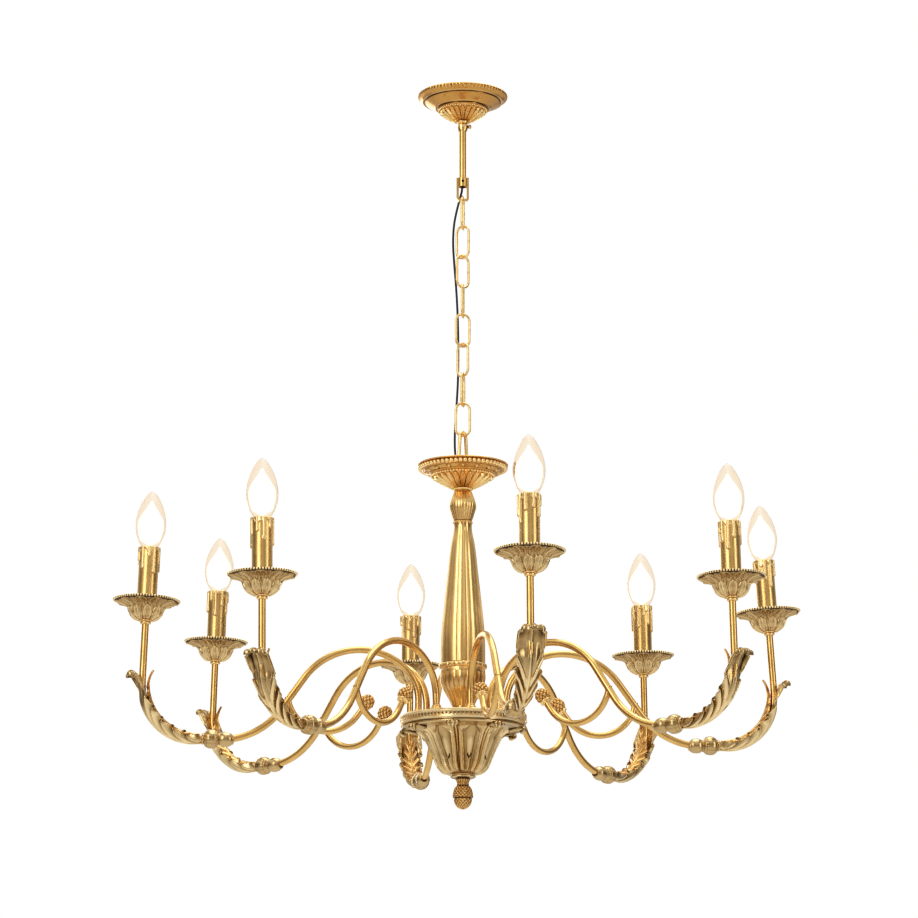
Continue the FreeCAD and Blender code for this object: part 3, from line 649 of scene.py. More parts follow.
# Low floors keep the painted shade in the grooves light.
column_ball = lathe([(((9.8, -471.1), (12.8, -478.6), (15.3, -489.2), (13.0, -498.4), (10.6, -505.9)), 60)],
                    ((5.4, -505.9), (5.4, -471.1)), 480, gadroons(20, 0.3, 0.22, -470, -507), floor=-3.0)
cover("column_gadroon_ball", column_ball, COLUMN, "column_ball", CAST_SHARP_DEG)

body = lathe(
    [(((10.0, -506.1), (10.6, -507.2), (10.6, -509.4), (10.3, -511.0)), 12),
     (((10.3, -511.0), (10.5, -516), (13.5, -532), (17.4, -565), (21.2, -599), (24.4, -631), (25.3, -652),
       (25.3, -669.5)), 120)],
    ((5.4, -669.5), (5.4, -506.1)), 576, gadroons(COLUMN_LOBES, 0.42, 0.12, -511.5, -672), floor=-3.6)
bead_ring(body, 10.4, -508.2, 1.15, 24)
cover("column_flutes", body, COLUMN, "column_body", CAST_SHARP_DEG)


def lobed(r, z, phi):
    return -0.7 * bell(1 - np.abs(cell(phi, 24)), 0.3) * bell(z + 673.0, 2.6)


waist = lathe(
    [(((24.6, -669.7), (26.4, -670.4), (27.3, -672.8), (26.4, -675.4), (25.0, -676.2)), 34),
     (((25.0, -676.2), (25.2, -678), (25.3, -680.3)), 8)],
    ((5.4, -680.3), (5.4, -669.7)), 480, lobed, floor=-2.4)
cover("column_lobed_ring", waist, COLUMN, "column_ring", CAST_SHARP_DEG)

foot = lathe([(((25.4, -680.5), (25.6, -685.5), (24.7, -691.5), (21.4, -701), (16, -710.6), (12.4, -718.6)), 60),
              (((12.4, -718.6), (12.0, -722), (12.6, -726), (13.8, -729.9)), 16)],
             ((5.4, -729.9), (5.4, -680.5)), 480, gadroons(COLUMN_LOBES, 0.55, 0.22, -678, -720), floor=-3.6)
cover("column_bowl_foot", foot, COLUMN, "column_foot", CAST_SHARP_DEG)


# ---- arm plate, bowl and finial

def plate_height(r, z, phi):
    notch = smoothstep(0.25, 0.7, np.abs(np.sin(48 * phi))) - 1
    return (1.5 * notch * bell(z + 735.2, 1.15) + 0.5 * bell(z + 739.0, 0.8) + 0.4 * bell(z + 732.2, 0.6)) * (r > 68)


plate = lathe(
    [(((5.4, -730), (40, -730), (67.8, -730)), 10),
     (((67.8, -730), (70.4, -730.3), (70.9, -731.6)), 8),
     (((70.9, -731.6), (70.3, -736), (69.7, -741.3)), 34),
     (((69.7, -741.3), (67.4, -741.5)), 4)],
    ((67.4, -733.2), (40, -733.2), (5.4, -733.2)), 768, plate_height)
cover("plate_notched", plate, ANTIQUE, "arm_plate")


def bowl_height(r, z, phi):
    """Eight ribbed leaves whose tips fold out, and a hollow arched leaf between each pair."""
    down = np.clip((-z - 745) / (795 - 745), 0, 1)
    turned = phi - math.radians(BOWL_TURN_DEG)
    a, b = cell(turned, BOWL_LEAVES, 2.0), np.abs(cell(turned, BOWL_LEAVES, 2.5))
    width = 0.66 * np.sqrt(np.clip((down - 0.02) / 0.14, 0, 1)) * (1 - 0.30 * down) + 1e-3
    inside = smoothstep(0.02, -0.05, b - width)
    border = 2.1 * bell(b - width, 0.075) * smoothstep(0.01, 0.10, down)
    ridge = 1.5 * bell(b, 0.10 + 0.16 * bell(down - 0.42, 0.16)) * smoothstep(0.12, 0.3, down)
    hollow = inside * (ridge - 0.7) - 0.8 * bell(b - 0.62 * width, 0.09) * inside
    spread = 1 - 0.35 * down
    ribs = (1.9 * bell(a, 0.055 * spread) + 1.3 * bell(np.abs(a) - 0.20 * spread, 0.05)
            - 1.3 * bell(np.abs(a) - 0.115 * spread, 0.04)) * (1 - inside)
    mark = b * 1.1 + (down - 0.66) * 2.6
    notch = -2.6 * bell(mark - 0.10, 0.06) * smoothstep(0.20, 0.15, b) * inside
    return (ribs + hollow + border + notch) * smoothstep(0, 0.05, down) * smoothstep(1.0, 0.93, down)


def folded_tip(shape, bearing):
    """Leaf tip that rolls outwards and hangs over the bowl's brim."""
    rows, columns, reach = 26, 31, 71.0
    s, v = np.linspace(0, 1, rows)[:, None], np.linspace(-1, 1, columns)[None, :]
    line = spline([(52, -745.6), (60, -743.4), (67, -742.6), (reach, -744.6), (reach - 0.6, -748.6),
                   (reach - 4.6, -750.2), (reach - 6.6, -748.0)], rows)
    half = ramp_through(((0, 5.5), (0.3, 7.0), (0.6, 8.2), (0.85, 6.0), (1, 2.0)), s)
    crimp = 0.9 * np.cos(v * 3.2 * math.pi) * np.abs(v) ** 0.5 + 0.9 * bell(v, 0.12)
    lift = crimp * (0.4 + 0.6 * s) - 1.4 * v ** 2
    side = half * v * (1 - 0.10 * np.abs(np.sin(9 * s)) * np.abs(v))
    top = raised(line, line_normal(line), lift, side)
    # The crimps' crests are painted in highlight and their troughs in shade.
    shell(shape, top, 1.5, (crimp + 1) / 2.2, bearing)


def shell(shape, top, thick, relief, bearing_deg=0.0):
    """Closed sheet of even thickness under a grid of points."""
    du, dv = np.gradient(top, axis=0), np.gradient(top, axis=1)
    normal = np.cross(du, dv)
    normal /= np.linalg.norm(normal, axis=2)[:, :, None] + 1e-9
    under = top - normal * thick
    rows, columns = top.shape[:2]
    both = np.concatenate([top, under[:, ::-1]], axis=1)
    values = np.broadcast_to(relief, (rows, columns))
    shade = np.concatenate([values, np.broadcast_to(0.5, (rows, columns))], axis=1)
    c, s = math.cos(math.radians(bearing_deg)), math.sin(math.radians(bearing_deg))
    turn = np.array(((c, -s, 0), (s, c, 0), (0, 0, 1)))
    return shape.grid(both @ turn.T, shade, wrap_columns=True, caps=True)


# Its floor and roof paint the ribs and leaf borders in highlight, and the hollows and notches in painted shade, partly
# patina.
bowl = lathe(
    [(((66.5, -741.6), (68.4, -742.0), (68.6, -743.4), (66, -744.6)), 14),
     (((66, -744.6), (57, -745.2), (48.6, -747.6), (43.6, -752.0), (38, -761.6), (33.6, -771), (30, -780),
       (26.6, -787.4), (20.6, -792.6), (15.2, -794.4)), 130),
     (((15.2, -794.4), (13.0, -795.2), (12.8, -796.0), (14.2, -796.6), (14.4, -797.8), (12.6, -798.9)), 22)],
    ((5.4, -798.9), (5.4, -794), (13, -792.2), (20, -789.4), (24, -784.6), (27, -778), (30.6, -769),
     (34.4, -760.6), (39.4, -750.4), (45, -745.0), (54, -743.2), (60, -742.4)), 640, bowl_height,
    floor=-2.6, roof=1.9)
for tip in range(BOWL_LEAVES):
    folded_tip(bowl, BOWL_TURN_DEG - 90 + 360 / BOWL_LEAVES * tip)
cover("bowl_acanthus", bowl, ANTIQUE, "bowl")


def finial_height(r, z, phi):
    reeds = 0.45 * np.abs(np.sin(8 * phi)) * smoothstep(-799.8, -801, z) * smoothstep(-807.4, -806.2, z)
    upper = 0.8 * scales(phi, (-z - 808) / 12.5, 16, 6) * smoothstep(-807.6, -809, z) * smoothstep(-821.2, -820, z)
    lower = 0.75 * scales(phi, (-z - 821) / 12, 14, 6) * smoothstep(-821.6, -822.8, z)
    return reeds + upper + lower


finial = lathe(
    [(((7.6, -799.4), (8.2, -800.0), (7.4, -801.4)), 8),
     (((7.4, -801.4), (6.2, -804.2), (6.9, -807.2)), 22),
     (((6.9, -807.2), (9.2, -811), (10.6, -816), (11.0, -820.6)), 52),
     (((11.0, -820.6), (9.9, -821.4)), 4),
     (((9.9, -821.4), (9.4, -825), (7.4, -829.2), (4, -832.2), (0.05, -833.2)), 46)],
    (), 320, finial_height)
cover("finial_cone", finial, WARM, "finial", CAST_SHARP_DEG, body="finial")


# ---- one arm, built along +X

def arm_matrix(number):
    """Place of arm number: droop, turn about its foot, bearing. In metres."""
    foot = Matrix.Translation((FOOT_X * MM, 0, PLATE_TOP * MM))
    droop = Matrix.Rotation(math.radians(ARM_DROOP_DEG[number]), 4, "Y")
    turn = Matrix.Rotation(math.radians(ARM_TURN_DEG[number]), 4, "Z")
    bearing = Matrix.Rotation(math.radians(FIRST_ARM_DEG + 360 / ARM_COUNT * number), 4, "Z")
    return bearing @ foot @ turn @ droop @ foot.inverted()


def arc(centre, radius, from_deg, to_deg, step=1.6):
    count = max(3, int(abs(math.radians(to_deg - from_deg)) * radius / step))
    return [(centre[0] + radius * math.cos(a), centre[1] + radius * math.sin(a))
            for a in np.radians(np.linspace(from_deg, to_deg, count))]


def arm_line():
    """The tube's centreline, the same runs and arcs as the CAD part's."""
    half = 50
    c, s = math.cos(math.radians(half)), math.sin(math.radians(half))
    run, rise = APEX[0] - FOOT_X, APEX[1] - RISE_TOP
    determinant = (1 - c) * (1 - s) - c * s
    first_r = (run * (1 - s) - rise * c) / determinant
    second_r = ((1 - c) * rise - s * run) / determinant
    slope = math.radians(SLOPE_DEG)
    crest_end = (APEX[0] + CREST_R * math.sin(slope), APEX[1] - CREST_R * (1 - math.cos(slope)))
    slope_end = (crest_end[0] + SLOPE_RUN * math.cos(slope), crest_end[1] - SLOPE_RUN * math.sin(slope))
    sag_r = (slope_end[1] - LOW_Z) / (1 - math.cos(slope))
    sag_x = slope_end[0] + sag_r * math.sin(slope)
    lean = math.radians(LEAN_DEG)
    lift = (BEND_X + BEND_R * math.cos(lean), LOW_Z + BEND_R + BEND_R * math.sin(lean))
    stem = (lift[0] - STEM_TOP * math.sin(lean), lift[1] + STEM_TOP * math.cos(lean))
    line = [(FOOT_X, FOOT_TOP - 2), (FOOT_X, (FOOT_TOP + RISE_TOP) / 2)]
    line += arc((FOOT_X + first_r, RISE_TOP), first_r, 180, 180 - half)
    line += arc((APEX[0], APEX[1] - second_r), second_r, 180 - half, 90)[1:]
    line += arc((APEX[0], APEX[1] - CREST_R), CREST_R, 90, 90 - SLOPE_DEG)[1:]
    line += spline([crest_end, slope_end], 20)[1:].tolist()
    line += arc((sag_x, LOW_Z + sag_r), sag_r, 270 - SLOPE_DEG, 270)[1:]
    line += spline([(sag_x, LOW_Z), (BEND_X, LOW_Z)], 12)[1:].tolist()
    line += arc((BEND_X, LOW_Z + BEND_R), BEND_R, -90, LEAN_DEG)[1:]
    line += spline([lift, stem], 30)[1:].tolist()
    return [(x, 0, z) for x, z in line], lift, lean


ARM_LINE, LIFT, LEAN = arm_line()


def curl_line():
    line = arc(CURL_CENTRE, CURL_R, CURL_FROM_DEG, CURL_TO_DEG)
    end = math.radians(CURL_TO_DEG)
    way = np.array((math.sin(end), -math.cos(end)))
    tip = np.array(line[-1])
    line += [tuple(tip + way * d) for d in (3.5, 7, CURL_END_RUN)]
    return [(x, 0, z) for x, z in line], np.array(line[-1]), way


CURL_LINE, CURL_TIP, CURL_WAY = curl_line()


def arm_tube():
    """Bent tube with its curl, standing in a turned socket on the plate."""
    shape = tube(ARM_LINE, TUBE_R, 28)
    tube(CURL_LINE, CURL_TUBE_R, 26, into=shape)
    socket = lathe(
        [(((4.1, -722.8), (4.9, -723.2), (5.2, -724.4)), 8),
         (((5.2, -724.4), (5.6, -725.6), (7.0, -726.4), (7.4, -727.8), (7.0, -729.6)), 18)],
        ((3.0, -729.6), (3.0, -722.8)), 64)
    socket.moved(Matrix.Translation((FOOT_X, 0, 0)))
    return shape.add(np.concatenate(socket.verts), socket.faces, np.concatenate(socket.relief))


CANDLE = Matrix.Translation((LIFT[0], 0, LIFT[1])) @ Matrix.Rotation(-LEAN, 4, "Y")
KNOP = Matrix.Translation((0, 0, LOW_Z + 0.3)) @ TO_X
BUD_TURN = math.atan2(CURL_WAY[0], CURL_WAY[1])
BUD_PLACE = Matrix.Translation((CURL_TIP[0], 0, CURL_TIP[1])) @ Matrix.Rotation(BUD_TURN, 4, "Y")


def knop():
    """Small and large ball with turned fillets, strung on the tube."""
    line = [(((4.4, 292.8), (6.2, 292.4), (6.6, 291.2), (6.0, 290.2)), 10),
            (((6.0, 290.2), (9.2, 287.6), (10.7, 282.2), (9.4, 276.6), (6.4, 273.8)), 34),
            (((6.4, 273.8), (6.9, 273.2), (6.4, 272.6)), 6),
            (((6.4, 272.6), (8.0, 269.8), (8.5, 265.6), (7.4, 260.8), (5.4, 258.2)), 28),
            (((5.4, 258.2), (5.6, 257.2), (4.4, 256.6)), 6)]
    return lathe(line, ((3.6, 256.6), (3.6, 292.8)), 120, knop_height, floor=-0.8, roof=0.8).moved(KNOP)


def knop_height(r, z, phi):
    melon = -0.25 * bell(1 - np.abs(cell(phi, 10)), 0.3) * smoothstep(6.6, 8.4, r) * (z > 276)
    return melon - 0.3 * bell(z - 287.6, 0.35) - 0.3 * bell(z - 276.6, 0.35)


BEND = np.array((BEND_X, LOW_Z + BEND_R))


def bend_points(keys):
    """Points beside the bend from (angle in degrees, radius) keys."""
    return [tuple(BEND + np.array((math.cos(math.radians(a)), math.sin(math.radians(a)))) * r) for a, r in keys]


def outer_leaf():
    """Acanthus leaf clasping the outside of the bend: curled side lobes, a smooth scoop, a rolled tip."""
    rows, columns = 240, 89
    s, v = np.linspace(0, 1, rows)[:, None], np.linspace(-1, 1, columns)[None, :]
    line = spline(bend_points(((-98, 64.6), (-84, 65.4), (-66, 65.8), (-50, 65.6), (-34, 65.0)))
                  + [tuple(BEND + np.array(p)) for p in ((60.8, -20), (62.0, -9), (64.2, -0.5), (67.0, 5.4),
                                                         (70.0, 9.0), (73.0, 10.8), (75.2, 9.8), (75.0, 7.2))],
                  rows)
    out = -line_normal(line)
    half = ramp_through(((0, 3.4), (0.1, 7.0), (0.25, 9.6), (0.4, 11.4), (0.51, 13.2), (0.63, 14.6), (0.74, 14.8),
                         (0.79, 12.2), (0.85, 10.9), (0.93, 11.6), (0.97, 12.0), (1, 10.4)), s)
    wrap = ramp_through(((0, -6), (0.1, -10), (0.28, -12), (0.5, -11), (0.63, -9), (0.74, -6), (0.82, -1.4),
                         (0.9, 1.0), (0.96, 1.6), (1, 0.8)), s)
    rise = np.abs(v)
    angle = rise * math.pi / 2
    wide = np.sin(angle)
    place = (s - 0.24 * wide + 0.202) / 0.14
    part = place % 1.0
    mask = smoothstep(LAST_LOBE + 0.02, LAST_LOBE - 0.05, place) * smoothstep(0.0, 0.08, s)
    ridge = smoothstep(0.02, 0.42, part) * smoothstep(1.0, 0.85, part)
    reach = 1 - mask * (0.24 * smoothstep(0.75, 0.0, part) + 0.22 * smoothstep(0.92, 1.0, part))
    tips = wide ** 6 * smoothstep(0.45, 0.8, part) * smoothstep(1.0, 0.9, part)
    curl = mask * ((2.6 * ridge - 1.4) * smoothstep(0.06, 0.40, wide) + 2.2 * tips)
    scoop = smoothstep(LAST_LOBE - 0.05, LAST_LOBE + 0.45, place)
    rim = scoop * ((2.2 - 1.2 * s ** 8) * bell(rise - 0.92, 0.12) - 1.7 * bell(rise - 0.52, 0.24))
    rib = (1.5 * bell(v, 0.05) - 0.7 * bell(rise - 0.13, 0.05)) * (1 - 0.35 * smoothstep(0.8, 0.95, s))
    side = np.sign(v) * half * wide ** 0.95 * np.where(rise > 0.2, reach ** (rise ** 0.7), 1)
    lift = wrap * (1 - np.cos(angle)) + curl + rim + rib
    back = 3.8 * bell(v, 0.2) * smoothstep(0.88, 1.0, s)
    way = line_way(line)
    top = raised(line, out, lift, side)
    top[:, :, ::2] -= way[:, None, :] * back[:, :, None]
    # Painted shade in the gaps between the lobes (partly patina) and under the rolled tip; painted highlight on the
    # lobes' ridges and tips, the rims and the midrib.
    relief = (0.62 - 0.58 * mask * (1 - ridge) ** 3 * smoothstep(0.1, 0.35, wide) + 0.15 * rim + 0.2 * rib
              + 0.3 * mask * (ridge ** 3 + tips) - 0.35 * scoop * bell(s - 0.9, 0.05) * (rise < 0.85))
    return shell(Shape(), top[:, ::-1], SHEET, np.clip(relief, 0, 1)[:, ::-1])


def inner_leaf():
    """Feathered leaf along the hollow side of the bend, ending in a thin spike."""
    rows, columns = 150, 49
    s, v = np.linspace(0, 1, rows)[:, None], np.linspace(-1, 1, columns)[None, :]
    line = spline(bend_points(((-95, 55.0), (-80, 54.0), (-60, 53.2), (-40, 52.8), (-20, 52.4), (-6, 52.4)))
                  + [tuple(BEND + np.array(p)) for p in ((52.2, 2.0), (50.6, 9.0), (47.6, 15.0))], rows)
    out = line_normal(line)
    half = ramp_through(((0, 3.0), (0.1, 6.4), (0.28, 10.0), (0.5, 10.8), (0.66, 8.8), (0.8, 5.0), (0.9, 2.4),
                         (1, 0.7)), s)
    rise = np.abs(v)
    part = (9.0 * (s - 0.10 * rise) / 0.82) % 1.0
    mask = smoothstep(0.88, 0.78, s)
    reach = 1 - mask * 0.16 * (1 - smoothstep(0.0, 0.7, part)) - mask * 0.10 * smoothstep(0.85, 1.0, part)
    barb = mask * smoothstep(0.06, 0.35, rise) * (1.3 * smoothstep(0.0, 0.6, part) * smoothstep(1.0, 0.75, part) - 0.4)
    rib = 1.0 * bell(v, 0.07)
    side = v * half * np.where(rise > 0.3, reach ** rise, 1)
    lift = barb + rib - 3.6 * rise ** 2 * np.clip(half / 10, 0, 1)
    top = raised(line, out, lift, side)
    # Painted highlight on the barbs and the rib, painted shade between them.
    relief = np.clip(0.42 + 0.4 * barb + 0.4 * rib, 0, 1)
    return shell(Shape(), top, SHEET, relief)


def curl_bud():
    return lathe(
        [(((0.05, 18.4), (3.4, 17.6), (6.4, 14.6), (7.9, 10.4), (7.4, 6.4), (5.6, 3.3)), 60)],
        (), 200, lambda r, z, phi: 1.3 * scales(phi, (z - 3) / 15.5, 9, 5) * smoothstep(0.4, 3, r) - 0.6
    ).moved(BUD_PLACE)


def bud_ring():
    return lathe(
        [(((4.4, 3.2), (5.6, 3.1), (6.5, 2.2), (6.5, 1.2), (5.7, 0.4), (4.6, 0.0)), 22),
         (((4.6, 0.0), (4.4, -0.8), (3.7, -1.2)), 6)], ((3.0, -1.2), (3.0, 3.2)), 64).moved(BUD_PLACE)


def cup_collar():
    return lathe(
        [(((5.2, 70.3), (6.4, 70.0), (7.0, 69.0), (6.6, 67.8), (5.2, 67.4)), 18),
         (((5.2, 67.4), (6.0, 66.9), (6.2, 65.9), (5.6, 64.8), (4.3, 64.3)), 16)],
        ((4.05, 64.3), (4.05, 70.3)), 72).moved(CANDLE)


def bobeche_height(r, z, phi):
    """Long leaves up to the rim, tucked behind a cup of short round ones."""
    front, behind = cell(phi, BOBECHE_LEAVES), cell(phi, BOBECHE_LEAVES, 0.5)
    long_leaf = 1.6 * petal(front, (r - 12) / (35.8 - 12), 3.4, 0.45) + 0.8 * bell(front, 0.08)
    short_leaf = 1.2 * petal(behind, (r - 12) / (33.0 - 12), 2.6, 0.35) + 0.6 * bell(behind, 0.08)
    cup = 2.6 * petal(behind, (z - 69.0) / (84.6 - 69.0), 4.0, 0.35)
    tucked = 1.5 * petal(front, (z - 69.0) / (86.6 - 69.0), 3.0, 0.2)
    crest = 0.5 * bell(behind, 0.09) * (z < 83)
    upper = np.maximum(long_leaf, short_leaf) * smoothstep(36.0, 34.8, r) * smoothstep(15, 19, r)
    return np.maximum(np.maximum(upper, tucked), cup + crest) * smoothstep(6.0, 8.2, r) * smoothstep(92.0, 90.4, z)


def bobeche():
    # Its floor and roof paint the ground between the leaves in shade and the leaves in highlight.
    shape = lathe(
        [(((35.4, 92.4), (36.6, 92.0), (36.8, 91.0), (35.6, 90.2)), 12),
         (((35.6, 90.2), (29, 89.0), (23, 86.8), (19.4, 83.8), (17.6, 80.4), (15.6, 76.0), (11.6, 72.4), (6.6, 70.6)),
          110)],
        ((4.1, 70.4), (4.1, 73), (6, 73.4), (11, 75.4), (14.0, 79.0), (16.4, 83.8), (22, 88.6), (28.4, 91.2)),
        480, bobeche_height, floor=0.15, roof=3.0)
    bead_ring(shape, 36.2, 91.2, 1.35, 72)
    return shape.moved(CANDLE)


DRIPS = ((0.2, 17, 1.6), (0.85, 26, 1.9), (1.5, 13, 1.5), (2.05, 31, 1.7), (2.75, 19, 1.8), (3.35, 28, 1.6),
         (3.95, 14, 1.7), (4.5, 24, 1.9), (5.1, 33, 1.6), (5.7, 20, 1.8))


def sleeve_height(r, z, phi):
    """Wax drips run down from the rim as round cords, each thicker at its end."""
    top, radius = 151.3, 11.2
    wax = np.zeros(r.shape)
    for bearing, length, width in DRIPS:
        away = ((phi - bearing + math.pi) % TAU - math.pi) * radius
        end = top - length
        below = np.clip(end + 2.4 - z, 0, None)
        swell = width * (1 + 0.35 * bell(z - end - 2, 3.0))
        wax = np.maximum(wax, 1.9 * np.sqrt(np.clip(1 - (np.hypot(away, below) / swell) ** 2, 0, 1)))
    band = z - (top - 4.6 - 2.4 * np.sin(5 * phi) - 1.4 * np.sin(9 * phi + 1))
    wax = np.maximum(wax, 1.2 * smoothstep(-0.8, 0.8, band) + 0.5 * bell(band, 0.9))
    return wax * smoothstep(top + 0.2, top - 0.8, z)


def candle_sleeve():
    # Its floor and roof paint the wax drips in highlight and the plain sleeve a middle tone.
    return lathe(
        [(((10.4, 151.2), (11.0, 151.0), (11.1, 150.2)), 6), (((11.1, 150.2), (11.1, 114)), 130),
         (((11.1, 114), (11.1, 78.4)), 14)],
        ((10.1, 78.4), (10.1, 151.2)), 320, sleeve_height, floor=-0.8, roof=1.6).moved(CANDLE)


BULB_LINE = ((9.0, 151.8), (12.2, 156.6), (15.0, 163.4), (17.2, 172.5), (17.4, 179), (16.2, 188), (13.6, 197),
             (9.4, 206), (5.0, 212.6), (1.6, 215.4))


def flame(scale, low, high):
    """Closed flame shape inside the glass, between two heights."""
    rows, columns = 60, 64
    line = spline(BULB_LINE, 200)
    keep = line[(line[:, 1] > low) & (line[:, 1] < high)]
    keep = np.column_stack([keep[:, 0] * scale, keep[:, 1]])
    taper = smoothstep(low, low + 8, keep[:, 1]) * smoothstep(high, high - 26, keep[:, 1])
    keep[:, 0] *= np.sqrt(0.02 + 0.98 * taper)
    pick = keep[np.linspace(0, len(keep) - 1, rows).astype(int)][::-1]
    return Shape().grid(rings(pick, columns), wrap_columns=True, caps=True)


def bulb_glass():
    """Blown flame with its drawn tip, open where it is cemented into the cap."""
    outer = spline(BULB_LINE, 70)[::-1]
    inner = (outer - line_normal(outer) * 0.55)[::-1]
    inner = inner[inner[:, 0] > 0.2]
    outer = np.concatenate([[(0.4, 215.95)], outer])
    inner = np.concatenate([inner, [(0.3, min(214.6, inner[-1][1] + 0.3))]])
    points = np.concatenate([rings(outer, 72), rings(inner, 72)])
    return Shape().grid(points, wrap_columns=True, caps=True).moved(CANDLE)


def bulb_cap():
    """Screw cap with its rolled thread and the contact underneath."""
    turns = 7

    def thread(r, z, phi):
        return 0.35 * np.sin(TAU * ((z - 124) / 2.8) - phi) * smoothstep(123, 125, z) * smoothstep(146, 144, z)
    return lathe(
        [(((9.0, 151.6), (9.1, 150), (7.6, 147.2), (6.6, 146)), 10),
         (((6.6, 146), (6.5, 124.4)), 16 * turns),
         (((6.5, 124.4), (4.2, 122.8), (2, 122.2), (0.05, 122.1)), 8)], (), 64, thread).moved(CANDLE)


def per_arm(label, shape, material, body, node, sharp_deg=TURNED_SHARP_DEG):
    """The same shape on all eight arms. body and node may name the arm with %d."""
    data = shape.mesh(label, material, sharp_deg)
    for number in range(ARM_COUNT):
        own = data.copy()
        own.transform(arm_matrix(number))
        own_body, own_node = (name.replace("%d", str(number + 1)) for name in (body, node or ""))
        piece("%s_%d" % (label, number + 1), own, own_body, [own_node] if node else ())


per_arm("arm_bent_tube", arm_tube(), GOLD_PLAIN, "lamp", "arm_tube_%d")
per_arm("knop_balls", knop(), ANTIQUE, "lamp", "arm_knops")
per_arm("acanthus_outer", outer_leaf(), ANTIQUE, "lamp", "outer_leaves", RELIEF_SHARP_DEG)
per_arm("acanthus_inner", inner_leaf(), WARM, "lamp", "inner_leaves", RELIEF_SHARP_DEG)
per_arm("bud_cone", curl_bud(), WARM, "lamp", "curl_buds", RELIEF_SHARP_DEG)
per_arm("bud_base_ring", bud_ring(), GOLD, "lamp", "bud_rings")
per_arm("stem_collar", cup_collar(), GOLD, "lamp", "cup_collars")
per_arm("petal_bobeche", bobeche(), ANTIQUE, "lamp", "bobeches", RELIEF_SHARP_DEG)
per_arm("dripped_sleeve", candle_sleeve(), SLEEVE, "lamp", "candle_sleeves", RELIEF_SHARP_DEG)
per_arm("flame_bulb", bulb_glass(), GLASS, "bulb_%d", "bulb_%d")
per_arm("flame_light", flame(0.88, 152.5, 204).moved(CANDLE), GLOW, "bulb_%d", None)
per_arm("screw_cap", bulb_cap(), STEEL, "bulb_%d", None)


# ---- CAD nodes that stay

KEPT = {
    "ceiling_crossbar": STEEL, "rod_top_nut": STEEL, "arm_nuts": STEEL, "downrod": GOLD_PLAIN,
    "rod_yoke": GOLD_PLAIN, "yoke_screw": DARK_STEEL, "central_rod": STEEL, "lamp_holders": PLASTIC,
    "wire_connector": PLASTIC,
}
for name, material in KEPT.items():
    kept = frame["nodes"][name]
    kept.data.materials.clear()
    kept.data.materials.append(material)


# ---- stage, light and camera

def stage():
    bpy.ops.mesh.primitive_plane_add(size=14, location=(0, 0, FLOOR_Z))
    floor = bpy.context.object
    floor.name = "floor"
    floor.data.materials.append(plain("pale_floor", (0.84, 0.84, 0.84), (0.86, 0.86, 0.86), 0.8, strength=0.02))


def area_light(name, place, target, size, power, colour=(1, 1, 1)):
    lamp = bpy.data.lights.new(name, "AREA")
    lamp.shape = "RECTANGLE"
    lamp.size, lamp.size_y = size
    lamp.energy = power
    lamp.color = colour
    thing = in_scene(name, lamp)
    thing.location = place
    thing.visible_camera = False
    thing.visible_transmission = False
    thing.rotation_euler = (Vector(target) - Vector(place)).to_track_quat("-Z", "Y").to_euler()


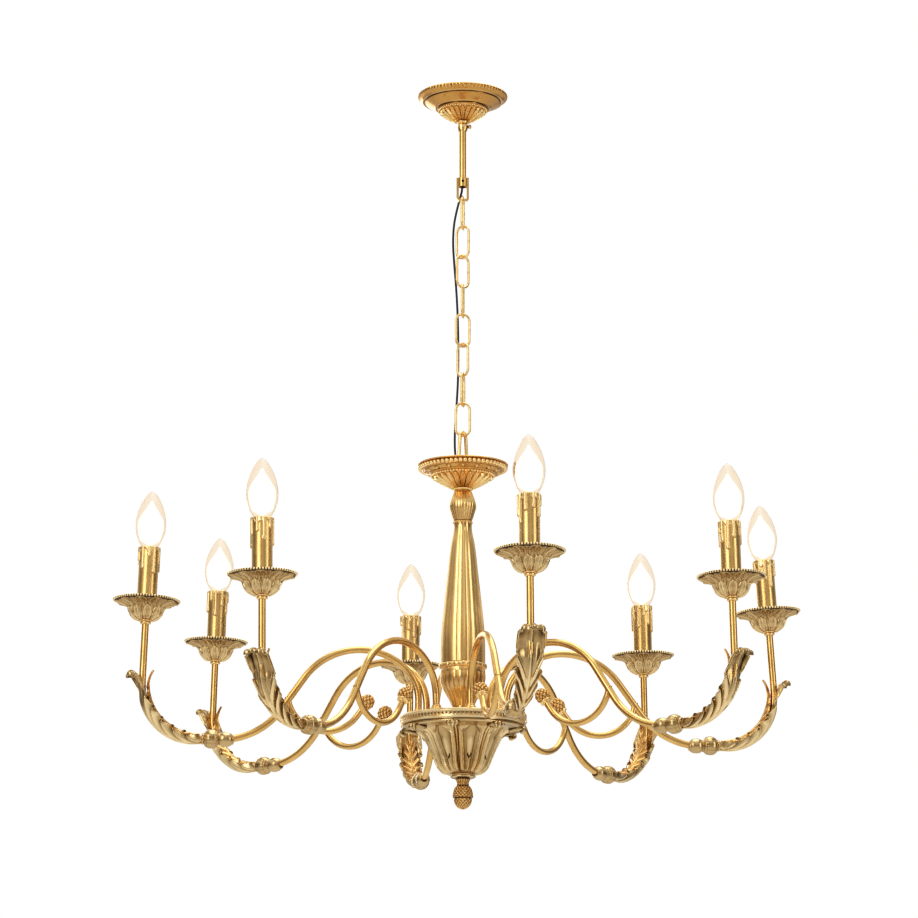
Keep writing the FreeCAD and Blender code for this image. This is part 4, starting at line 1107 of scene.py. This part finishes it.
def world():
    """White behind the object; what the metal mirrors is a soft room, darker at the sides."""
    scene_world = bpy.data.worlds.new("studio")
    bpy.context.scene.world = scene_world
    scene_world.use_nodes = True
    tree = scene_world.node_tree
    tree.nodes.clear()
    coords = add_node(tree, "ShaderNodeTexCoord")
    split = add_node(tree, "ShaderNodeSeparateXYZ")
    tree.links.new(coords.outputs["Generated"], split.inputs["Vector"])
    level = add_node(tree, "ShaderNodeMapRange", **{"From Min": -1.0, "From Max": 1.0})
    tree.links.new(split.outputs["Z"], level.inputs["Value"])
    room = ramp(tree, level.outputs["Result"], (
        (0.0, (0.60, 0.57, 0.53)), (0.4, (0.50, 0.46, 0.41)), (0.5, (0.42, 0.38, 0.32)),
        (0.64, (0.75, 0.72, 0.67)), (1.0, (1.0, 0.99, 0.97))))
    across = add_node(tree, "ShaderNodeMapRange", **{"From Min": -1.0, "From Max": 1.0})
    tree.links.new(split.outputs["X"], across.inputs["Value"])
    screens = ramp(tree, across.outputs["Result"], (
        (0.0, grey(0.26)), (0.10, grey(0.9)), (0.22, grey(1.0)), (0.32, grey(0.46)), (0.50, grey(0.68)),
        (0.62, grey(1.0)), (0.74, grey(0.42)), (0.86, grey(0.85)), (1.0, grey(0.2))))
    lit = add_node(tree, "ShaderNodeMix", data_type="RGBA", blend_type="MULTIPLY")
    lit.inputs["Factor"].default_value = 1.0
    tree.links.new(room, lit.inputs["A"])
    tree.links.new(screens, lit.inputs["B"])
    dim = add_node(tree, "ShaderNodeBackground", Strength=1.15)
    tree.links.new(lit.outputs["Result"], dim.inputs["Color"])
    white = add_node(tree, "ShaderNodeBackground", Strength=1.0)
    white.inputs["Color"].default_value = (1, 1, 1, 1)
    path = add_node(tree, "ShaderNodeLightPath")
    either = add_node(tree, "ShaderNodeMath", operation="MAXIMUM")
    tree.links.new(path.outputs["Is Camera Ray"], either.inputs[0])
    tree.links.new(path.outputs["Is Transmission Ray"], either.inputs[1])
    mix = add_node(tree, "ShaderNodeMixShader")
    tree.links.new(either.outputs["Value"], mix.inputs["Fac"])
    tree.links.new(dim.outputs["Background"], mix.inputs[1])
    tree.links.new(white.outputs["Background"], mix.inputs[2])
    out = add_node(tree, "ShaderNodeOutputWorld")
    tree.links.new(mix.outputs["Shader"], out.inputs["Surface"])


def camera():
    data = bpy.data.cameras.new("camera")
    data.sensor_width = 36
    data.lens = CAMERA_LENS
    data.clip_end = 50
    thing = in_scene("camera", data)
    thing.location = CAMERA_PLACE
    thing.rotation_euler = (math.radians(90 + CAMERA_PITCH_DEG), 0, 0)
    bpy.context.scene.camera = thing


stage()
world()
area_light("key", (-1.7, -2.6, 0.3), (0, 0, -0.55), (1.3, 2.6), 26, (1.0, 0.98, 0.94))
area_light("fill", (2.5, -1.7, -0.3), (0, 0, -0.6), (0.8, 2.4), 13, (1.0, 0.98, 0.95))
area_light("top", (0.2, 0.2, 1.5), (0, 0, -0.5), (2.0, 2.0), 26)
area_light("back", (-0.8, 2.7, 0.0), (0, 0, -0.6), (1.4, 2.2), 18)
camera()
bpy.context.scene.view_settings.view_transform = "Standard"
bpy.context.scene.view_settings.use_curve_mapping = True
curves = bpy.context.scene.view_settings.curve_mapping
for place in CONTRAST_POINTS:
    curves.curves[3].points.new(*place)
curves.update()
